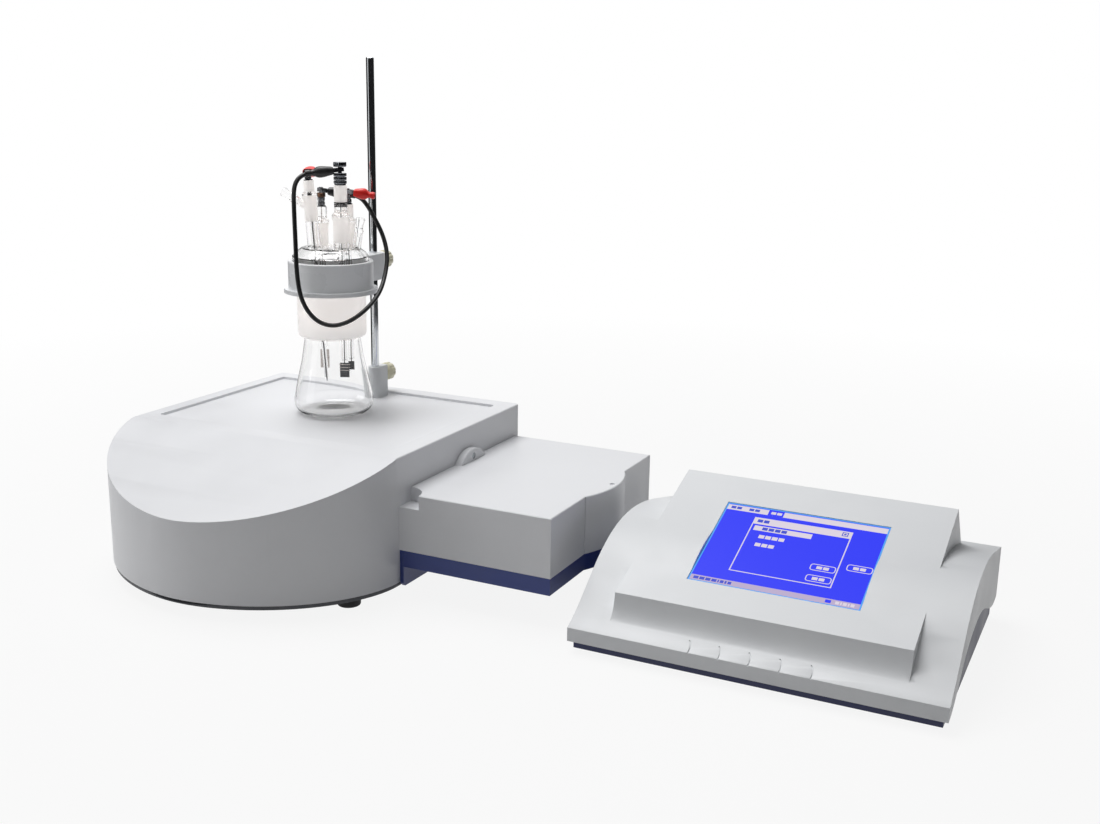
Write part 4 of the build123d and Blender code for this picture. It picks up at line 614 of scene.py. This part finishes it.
class TITRATOR_OT_electrodes(bpy.types.Operator):
    """Electrodes with their terminals and foils"""
    bl_idname = "titrator.electrodes"
    bl_label = "Electrodes"

    def execute(self, context):
        for name, size in ELECTRODE_SIZES.items():
            place = electrode_place(name)
            mesh = smooth(turned(f"{name}_stem", stem_outline(size), place, 64), 40)
            bands = [(size["rim"] - 10.5, size["rim"], place, 20)]
            if name in WHITE_CAP_MM:
                bands.append((size["cap_top"] - WHITE_CAP_MM[name], size["cap_top"] + 1, place, 20))
            mark_ground(mesh, bands)
            node = f"{name}_electrode"
            new_object(mesh.name, mesh, MATERIALS["glass"], "holder", [node])
        for name, material in (("main", "dark_chrome"), ("pair", "dark_chrome"), ("thin", "nickel"),
                               ("side", "nickel")):
            terminal_piece(name, material)
        foil_pieces()
        ring_foot = ELECTRODE_SIZES["main"]["cap_top"] - WHITE_CAP_MM["main"] - 5
        for number in range(RING_MARKS):
            low, radius = ring_foot + RING_MARK_PITCH_MM * number, ELECTRODE_SIZES["main"]["cap"]
            ring = [(radius, low), (radius + 0.12, low), (radius + 0.12, low + 1.0), (radius, low + 1.0)]
            inner_rod("main", f"main_ring_mark_{number}", ring, "burnt_ink")
        thin = ELECTRODE_SIZES["thin"]
        rod = [(0, thin["tip"] + 2), (0.75, thin["tip"] + 2), (0.75, CARBON_WAIST_MM),
               (1.5, CARBON_TOP_MM), (0, CARBON_TOP_MM)]
        inner_rod("thin", "thin_carbon_rod", rod, "carbon")
        low, high = BRONZE_FOOT_MM, ELECTRODE_SIZES["pair"]["bite"] - BITE_HEIGHT_MM / 2
        bronze = [(3.7, low), *nut(4.2, low, high)[1:-1], (3.7, high)]
        inner_rod("pair", "pair_bronze_nut", bronze, "bronze")
        return {"FINISHED"}


# outline of a clip's sleeve: distance behind the bite, half width across the jaws, half height along the pivot pin
SLEEVE_OUTSIDE_MM = [(7.6, 6.2, 3.5), (8.2, 6.4, 3.8), (12, 6.4, 4.4), (16, 6.2, 5.1), (19, 5.8, 5.4),
                     (21.5, 5.2, 5.1), (23.5, 4.2, 4.2), (25.5, 3.0, 3.0), (27.5, 2.75, 2.75), (28.6, 2.85, 2.85),
                     (29.4, 3.3, 3.3), (33.2, 3.3, 3.3), (34, 3.0, 3.0)]
SLEEVE_INSIDE_MM = [(34, 2.2, 2.2), (33, 1.97, 1.97), (28, 1.97, 1.97), (25.5, 2.1, 2.1), (22.5, 3.7, 3.6),
                    (19.5, 4.9, 4.5), (12, 5.8, 3.8), (7.6, 5.75, 3.1)]
# the side clip's sleeve is the short one
SLEEVE_LENGTH_MM = {"main": 34, "pair": 34, "thin": 34, "side": 27}


def sleeve_piece(name, material):
    """Soft sleeve, lofted through rounded sections: y = w sign(cos a) |cos a|^e, z = h sign(sin a) |sin a|^e,
    with e = 2/3 at the flat mouth, going to 1, a circle, at the neck."""
    stations = []
    for profile in (SLEEVE_OUTSIDE_MM, SLEEVE_INSIDE_MM):
        profile = np.array(profile, float)
        share = np.linspace(0, len(profile) - 1, 6 * len(profile))
        fine = np.stack([np.interp(share, range(len(profile)), column) for column in profile.T], axis=1)
        for _ in range(6):
            fine[1:-1] = (fine[:-2] + 2 * fine[1:-1] + fine[2:]) / 4
        stations.append(fine)
    station = np.concatenate(stations)
    along, width, height = (station[:, i:i + 1] for i in range(3))
    power = 2 / 3 + np.clip((along - 14) / 11, 0, 1) / 3
    mouth, tail = along.min(), along.max()
    along = mouth + (along - mouth) * (SLEEVE_LENGTH_MM[name] - mouth) / (tail - mouth)
    angle = np.linspace(0, 2 * np.pi, 64, endpoint=False)[None, :]
    across = width * np.sign(np.cos(angle)) * np.abs(np.cos(angle)) ** power
    up = height * np.sign(np.sin(angle)) * np.abs(np.sin(angle)) ** power
    points = np.stack([along + 0 * angle, across, up], axis=-1) * MM
    mesh = smooth(surface(f"{name}_clip_sleeve", carried(points, clip_place(name)), True, True), 50)
    node = f"{name}_clip_boot"
    return new_object(mesh.name, mesh, MATERIALS[material], body_of(node), [node])


class TITRATOR_OT_clips(bpy.types.Operator):
    """Clips with soft sleeves"""
    bl_idname = "titrator.clips"
    bl_label = "Clips"

    def execute(self, context):
        for name in ELECTRODE_NAMES:
            dress(f"{name}_clip_jaw", "nickel")
            sleeve_piece(name, "red_pvc" if name in ("thin", "side") else "black_pvc")
        dress("clip_fixed_jaws", "nickel")
        return {"FINISHED"}


class TITRATOR_OT_lead(bpy.types.Operator):
    """Black lead hanging between the two black clips"""
    bl_idname = "titrator.lead"
    bl_label = "Lead"

    def execute(self, context):
        route = [CELL_FRAME @ (Vector(point) * MM) for point in LEAD_ROUTE_MM]
        curve = bpy.data.curves.new("jumper_lead", "CURVE")
        curve.dimensions = "3D"
        line = curve.splines.new("NURBS")
        line.points.add(len(route) - 1)
        for point, place in zip(line.points, route):
            point.co = (*place, 1)
        line.order_u = 3
        line.use_endpoint_u = True
        line.resolution_u = 12
        curve.bevel_depth = context.scene.titrator_finish.lead_diameter / 2
        curve.bevel_resolution = 6
        curve.use_fill_caps = True
        lead = bpy.data.objects.new("jumper_lead", curve)
        bpy.context.scene.collection.objects.link(lead)
        curve.materials.append(MATERIALS["lead_silicone"])
        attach(lead, "holder")
        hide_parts("black_lead")
        return {"FINISHED"}


class TITRATOR_OT_unit(bpy.types.Operator):
    """Measuring unit on the stand's right wall"""
    bl_idname = "titrator.unit"
    bl_label = "Measuring unit"

    def execute(self, context):
        edge = context.scene.titrator_finish.unit_edge / MM
        eased("unit_cover", "unit_case", MATERIALS["housing_abs"], edge)
        eased("unit_tray", "unit_tray_case", MATERIALS["tray_abs"], edge)
        eased("docking_plate", "docking_plate_case", MATERIALS["tray_abs"], edge)
        return {"FINISHED"}


class TITRATOR_OT_control(bpy.types.Operator):
    """Control unit: arched housing, dark lower shell and feet"""
    bl_idname = "titrator.control"
    bl_label = "Control unit"

    def execute(self, context):
        settings = context.scene.titrator_finish
        eased("control_housing", "control_case", MATERIALS["control_abs"], settings.case_edge / MM)
        eased("control_lower_shell", "control_lower_case", MATERIALS["lower_abs"], 0.8)
        eased("control_feet", "control_foot_set", MATERIALS["rubber"], 0.4)
        return {"FINISHED"}


SCREEN_WIDTH_MM, SCREEN_HEIGHT_MM = 140.3, 107.2
SCREEN_SLOPE = radians(19.88)
PAGE_LAYER_MM = 0.02  # each layer of the page over the one below
WORD_GAP_MM = 0.9


def screen_frame():
    """Frame on the touch panel's face: origin at its lower left corner, X to the right, Y up the slope, Z out."""
    low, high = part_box("touch_panel")
    tilt = Matrix.Rotation(SCREEN_SLOPE, 4, "X")
    depth = (high.z - low.z) / MM - SCREEN_HEIGHT_MM * sin(SCREEN_SLOPE)
    return Matrix.Translation((low.x, low.y, low.z + depth * MM)) @ tilt


def ring_of(left, bottom, right, top, corner, steps=6):
    """Corner points of a rectangle with round corners, anticlockwise: each corner is a quarter circle."""
    middles = [(right - corner, top - corner), (left + corner, top - corner), (left + corner, bottom + corner),
               (right - corner, bottom + corner)]
    angle = np.linspace(0, np.pi / 2, steps) + np.arange(4)[:, None] * np.pi / 2
    arcs = corner * np.stack([np.cos(angle), np.sin(angle)], axis=-1)
    return (np.array(middles)[:, None] + arcs).reshape(-1, 2)


class ScreenPage:
    """Collects flat shapes of the page, in mm on the panel's face, each lifted a little over the one below."""

    def __init__(self):
        self.points, self.faces, self.colours = [], [], []

    def add(self, outline, level, colour):
        first = len(self.points)
        self.points += [(x, y, level * PAGE_LAYER_MM) for x, y in outline]
        self.faces.append(tuple(range(first, first + len(outline))))
        self.colours.append(colour)

    def bar(self, left, bottom, right, top, level, colour, corner=0.05):
        """A filled rectangle."""
        self.add(ring_of(left, bottom, right, top, corner), level, colour)

    def box(self, left, bottom, right, top, level, colour, line, corner=0.05):
        """A rectangle's outline of the given line width, as a closed strip of quads."""
        outer = ring_of(left, bottom, right, top, corner)
        inner = ring_of(left + line, bottom + line, right - line, top - line, max(corner - line, 0.03))
        first, count = len(self.points), len(outer)
        self.points += [(x, y, level * PAGE_LAYER_MM) for x, y in np.concatenate([outer, inner])]
        for i in range(count):
            j = (i + 1) % count
            self.faces.append((first + i, first + j, first + count + j, first + count + i))
            self.colours.append(colour)

    def words(self, left, bottom, height, widths, level, colour):
        """A line of plain short bars that stand for words."""
        for width in widths:
            self.bar(left, bottom, left + width, bottom + height, level, colour)
            left += width + WORD_GAP_MM


def draw_page():
    """The page: rim, menu bar, window with a title bar and a chosen row, three buttons, and a foot bar."""
    page = ScreenPage()
    width, height = SCREEN_WIDTH_MM, SCREEN_HEIGHT_MM
    page.bar(0, 0, width, height, 0, "rim")
    page.bar(1.3, 1.3, width - 1.3, height - 1.3, 1, "page")
    page.bar(1.3, 98.0, width - 1.3, 105.0, 2, "bar")
    page.bar(37.5, 98.0, 51.0, 105.0, 3, "page")
    for left, widths, colour in ((4.5, (4.2, 4.2), "ink"), (20.5, (4.2, 4.2), "ink"), (40.0, (4.2, 4.2), "bar")):
        page.words(left, 99.9, 3.4, widths, 4, colour)
    page.box(28.5, 20.0, 112.5, 93.0, 2, "bar", 1.0)
    page.bar(28.5, 84.0, 112.5, 93.0, 2, "bar")
    page.words(32.0, 86.6, 4.0, (4.6, 4.6), 4, "ink")
    page.box(104.2, 86.2, 109.4, 91.4, 4, "ink", 0.8)
    page.words(105.9, 87.8, 1.9, (1.9,), 5, "ink")
    page.bar(31.7, 75.6, 81.3, 82.0, 2, "bar")
    page.words(39.0, 76.9, 3.9, (4.6, 4.6, 4.6, 4.6), 4, "ink")
    page.words(39.0, 66.0, 4.4, (4.8, 4.8, 4.8, 4.8), 4, "bar")
    page.words(39.0, 55.2, 4.4, (4.8, 4.8, 4.8), 4, "bar")
    for left, bottom in ((90.0, 37.6), (90.0, 23.8), (118.0, 44.2)):
        page.box(left, bottom, left + 20.8, bottom + 8.2, 3, "bar", 0.8, 2.6)
        page.words(left + 5.2, bottom + 2.3, 3.6, (4.6, 4.6), 4, "bar")
    page.bar(1.3, 1.3, width - 1.3, 7.6, 2, "foot")
    page.words(4.0, 2.7, 3.4, (4.2, 4.2, 4.2, 4.2, 1.2, 3.0, 1.6, 3.0), 4, "ink")
    page.words(112.0, 2.7, 3.6, (4.6,), 4, "page")
    page.words(120.0, 2.7, 3.4, (3.0, 1.2, 3.0, 1.2, 3.0), 4, "bar")
    return page


def lit(name, colour, level):
    """A lit liquid crystal behind an anti-reflex film: the colour glows, with a weak satin reflection."""
    return finish_material(name, Base_Color=(0.01, 0.01, 0.012, 1), Roughness=0.3, Specular_IOR_Level=0.12,
                           Emission_Color=colour, Emission_Strength=level)[0]


def make_screen(colours):
    """The lit page on the touch panel's face, and the panel itself with eased edges."""
    page = draw_page()
    place = screen_frame()
    mesh = bpy.data.meshes.new("lit_page")
    points = np.array(page.points) * MM
    points[:, 2] += PAGE_LAYER_MM * MM
    mesh.from_pydata(carried(points, place).tolist(), [], page.faces)
    piece = new_object("lit_page", mesh, None, "root")
    inks = {"page": colours.page, "bar": colours.bar, "rim": colours.rim, "ink": linear("#3446c8"),
            "foot": linear("#b7a8c9")}
    for name, colour in inks.items():
        mesh.materials.append(lit(f"lit_crystal_{name}", tuple(colour), 1.0))
    order = {name: number for number, name in enumerate(inks)}
    mesh.polygons.foreach_set("material_index", [order[colour] for colour in page.colours])
    panel = eased("touch_panel", "touch_panel_glass", MATERIALS["black_pc"], 0.15, steps=2)
    piece.parent = panel.parent


class TITRATOR_OT_screen(bpy.types.Operator):
    """Lit screen behind the touch panel"""
    bl_idname = "titrator.screen"
    bl_label = "Screen"

    def execute(self, context):
        dress("display_module", "black_pc")
        make_screen(context.scene.titrator_screen)
        return {"FINISHED"}


class TITRATOR_OT_panels(bpy.types.Operator):
    """Rear panels: power inlets, rocker switches and round sockets"""
    bl_idname = "titrator.panels"
    bl_label = "Rear panels"

    def execute(self, context):
        for node in ("power_inlets", "switch_frames", "stand_rocker", "control_rocker"):
            dress(node, "black_pc")
        for node in ("stand_sockets", "unit_sockets", "control_sockets"):
            dress(node, "nickel")
        return {"FINISHED"}


CAMERA_PLACE = (0.49685, -0.9681, 0.4441)
CAMERA_PITCH, CAMERA_ROLL = radians(14.09), radians(0.93)
CAMERA_LENS_MM = 42.13
KEY_PLACE, KEY_TARGET, KEY_SIZE = (-0.7, 0.2, 2.3), (-0.05, 0.0, 0.1), 1.6
FILL_PLACE, FILL_TARGET, FILL_SIZE = (-2.2, -1.0, 1.0), (-0.2, 0.0, 0.15), 1.2
FLAG_HEIGHT, FLAG_STEPS = 1.1, 40


class TITRATOR_OT_stage(bpy.types.Operator):
    """Pale floor, soft light and camera"""
    bl_idname = "titrator.stage"
    bl_label = "Stage"

    def execute(self, context):
        settings = context.scene.titrator_stage
        make_floor()
        make_world(settings.sky)
        add_lamp("key_lamp", KEY_PLACE, KEY_TARGET, KEY_SIZE, settings.key_power)
        add_lamp("fill_lamp", FILL_PLACE, FILL_TARGET, FILL_SIZE, settings.fill_power)
        make_flag("right_flag", -50, 150, 1.05)
        make_flag("left_flag", -155, -72, 0.7)
        make_camera()
        context.scene.view_settings.view_transform = "Standard"
        return {"FINISHED"}


def make_floor():
    """A wide pale floor at bench height. It looks white, and keeps a soft shadow."""
    half = 6.0
    mesh = bpy.data.meshes.new("floor")
    mesh.from_pydata([(-half, -half, 0), (half, -half, 0), (half, half, 0), (-half, half, 0)], [], [(0, 1, 2, 3)])
    floor = bpy.data.objects.new("floor", mesh)
    bpy.context.scene.collection.objects.link(floor)
    material, tree, shader = finish_material("studio_floor_white", Base_Color=linear("#c4c4c4"), Roughness=0.9)
    path = add_node(tree, "ShaderNodeLightPath")
    seen = add_node(tree, "ShaderNodeMath", {"operation": "MAXIMUM"},
                    {0: path.outputs["Is Camera Ray"], 1: path.outputs["Is Glossy Ray"]})
    seen = add_node(tree, "ShaderNodeMath", {"operation": "MAXIMUM"},
                    {0: seen.outputs[0], 1: path.outputs["Is Transmission Ray"]})
    place = add_node(tree, "ShaderNodeTexCoord").outputs["Object"]
    reach = add_node(tree, "ShaderNodeVectorMath", {"operation": "LENGTH"}, {0: place})
    fade = add_node(tree, "ShaderNodeMapRange", {"From Min": 0.5, "From Max": 1.5, "To Min": 0.89, "To Max": 1.0},
                    {"Value": reach.outputs["Value"]})
    share = add_node(tree, "ShaderNodeMath", {"operation": "MULTIPLY"}, {0: seen.outputs[0], 1: fade.outputs[0]})
    glow = add_node(tree, "ShaderNodeEmission", {"Color": (1, 1, 1, 1), "Strength": 1.0})
    both = add_node(tree, "ShaderNodeMixShader",
                    links={"Fac": share.outputs[0], 1: shader.outputs[0], 2: glow.outputs[0]})
    output = next(n for n in tree.nodes if n.bl_idname == "ShaderNodeOutputMaterial")
    tree.links.new(both.outputs[0], output.inputs["Surface"])
    mesh.materials.append(material)


def make_world(strength):
    """Even light of the given strength; what the camera, gloss and glass see of it is white."""
    world = bpy.data.worlds.new("studio")
    bpy.context.scene.world = world
    world.use_nodes = True
    tree = world.node_tree
    tree.nodes.clear()
    path = add_node(tree, "ShaderNodeLightPath")
    seen = add_node(tree, "ShaderNodeMath", {"operation": "MAXIMUM"},
                    {0: path.outputs["Is Camera Ray"], 1: path.outputs["Is Transmission Ray"]})
    seen = add_node(tree, "ShaderNodeMath", {"operation": "MAXIMUM"},
                    {0: seen.outputs[0], 1: path.outputs["Is Glossy Ray"]})
    level = add_node(tree, "ShaderNodeMapRange", {"To Min": strength, "To Max": 1.0}, {"Value": seen.outputs[0]})
    sky = add_node(tree, "ShaderNodeBackground", {"Color": (1, 1, 1, 1)}, {"Strength": level.outputs[0]})
    add_node(tree, "ShaderNodeOutputWorld", links={"Surface": sky.outputs[0]})


def add_lamp(name, place, target, size, power):
    """A square soft lamp that faces its target."""
    light = bpy.data.lights.new(name, "AREA")
    light.shape = "SQUARE"
    light.size = size
    light.energy = power
    lamp = bpy.data.objects.new(name, light)
    lamp.location = place
    lamp.rotation_euler = (Vector(target) - Vector(place)).to_track_quat("-Z", "Y").to_euler()
    bpy.context.scene.collection.objects.link(lamp)


def make_flag(name, first, last, reach):
    """A tall black curtain on an arc round the rod, which only glossy surfaces see: x = r sin a, y = -r cos a.
    Its ends are angles in degrees, counted from the camera's side towards the right; reach is its radius."""
    angle = np.radians(np.linspace(first, last, FLAG_STEPS) + degrees(CELL_TURN))
    ring = np.stack([ROD_MIDDLE.x + reach * np.sin(angle), ROD_MIDDLE.y - reach * np.cos(angle)], axis=1)
    points = np.stack([np.column_stack([ring, np.full(FLAG_STEPS, z)]) for z in (0.01, FLAG_HEIGHT)])
    mesh = surface(name, points, around=False)
    flag = bpy.data.objects.new(name, mesh)
    bpy.context.scene.collection.objects.link(flag)
    mesh.materials.append(finish_material("black_curtain", Base_Color=linear("#101012"), Roughness=1.0)[0])
    flag.visible_camera = flag.visible_diffuse = flag.visible_shadow = flag.visible_transmission = False


def make_camera():
    """Camera at eye height in front and to the right, with a slight roll."""
    yaw, pitch, roll = CELL_TURN, CAMERA_PITCH, CAMERA_ROLL
    sight = Vector((-sin(yaw) * cos(pitch), cos(yaw) * cos(pitch), -sin(pitch)))
    right = Vector((cos(yaw), sin(yaw), 0))
    up = right.cross(sight)
    across = cos(roll) * right + sin(roll) * up
    upright = -sin(roll) * right + cos(roll) * up
    lens = bpy.data.cameras.new("camera")
    lens.sensor_width = 36.0
    lens.lens = CAMERA_LENS_MM
    lens.clip_end = 50
    camera = bpy.data.objects.new("camera", lens)
    turn = Matrix((across, upright, -sight)).transposed().to_4x4()
    camera.matrix_world = Matrix.Translation(CAMERA_PLACE) @ turn
    bpy.context.scene.collection.objects.link(camera)
    bpy.context.scene.camera = camera


OPERATORS = (
    TITRATOR_OT_materials, TITRATOR_OT_stand, TITRATOR_OT_rod, TITRATOR_OT_drive, TITRATOR_OT_glass,
    TITRATOR_OT_electrodes, TITRATOR_OT_clips, TITRATOR_OT_lead, TITRATOR_OT_unit, TITRATOR_OT_control,
    TITRATOR_OT_screen, TITRATOR_OT_panels, TITRATOR_OT_stage,
)
SETTINGS = {
    "titrator_finish": TitratorFinishSettings,
    "titrator_screen": TitratorScreenSettings,
    "titrator_stage": TitratorStageSettings,
}


class TITRATOR_PT_panel(bpy.types.Panel):
    """Lists the titrator's settings and pieces"""
    bl_label = "Titrator"
    bl_idname = "TITRATOR_PT_panel"
    bl_space_type = "VIEW_3D"
    bl_region_type = "UI"
    bl_category = "Titrator"

    def draw(self, context):
        for name, group in SETTINGS.items():
            for value in group.__annotations__:
                self.layout.prop(getattr(context.scene, name), value)
        for operator in OPERATORS:
            self.layout.operator(operator.bl_idname)


def register():
    for group in (*SETTINGS.values(), *OPERATORS, TITRATOR_PT_panel):
        bpy.utils.register_class(group)
    for name, group in SETTINGS.items():
        setattr(bpy.types.Scene, name, bpy.props.PointerProperty(type=group))


def unregister():
    for name in SETTINGS:
        delattr(bpy.types.Scene, name)
    for group in reversed((*SETTINGS.values(), *OPERATORS, TITRATOR_PT_panel)):
        bpy.utils.unregister_class(group)


def main():
    register()
    for operator in OPERATORS:
        package, name = operator.bl_idname.split(".")
        getattr(getattr(bpy.ops, package), name)()
    bpy.context.view_layer.update()


if __name__ == "__main__":
    main()
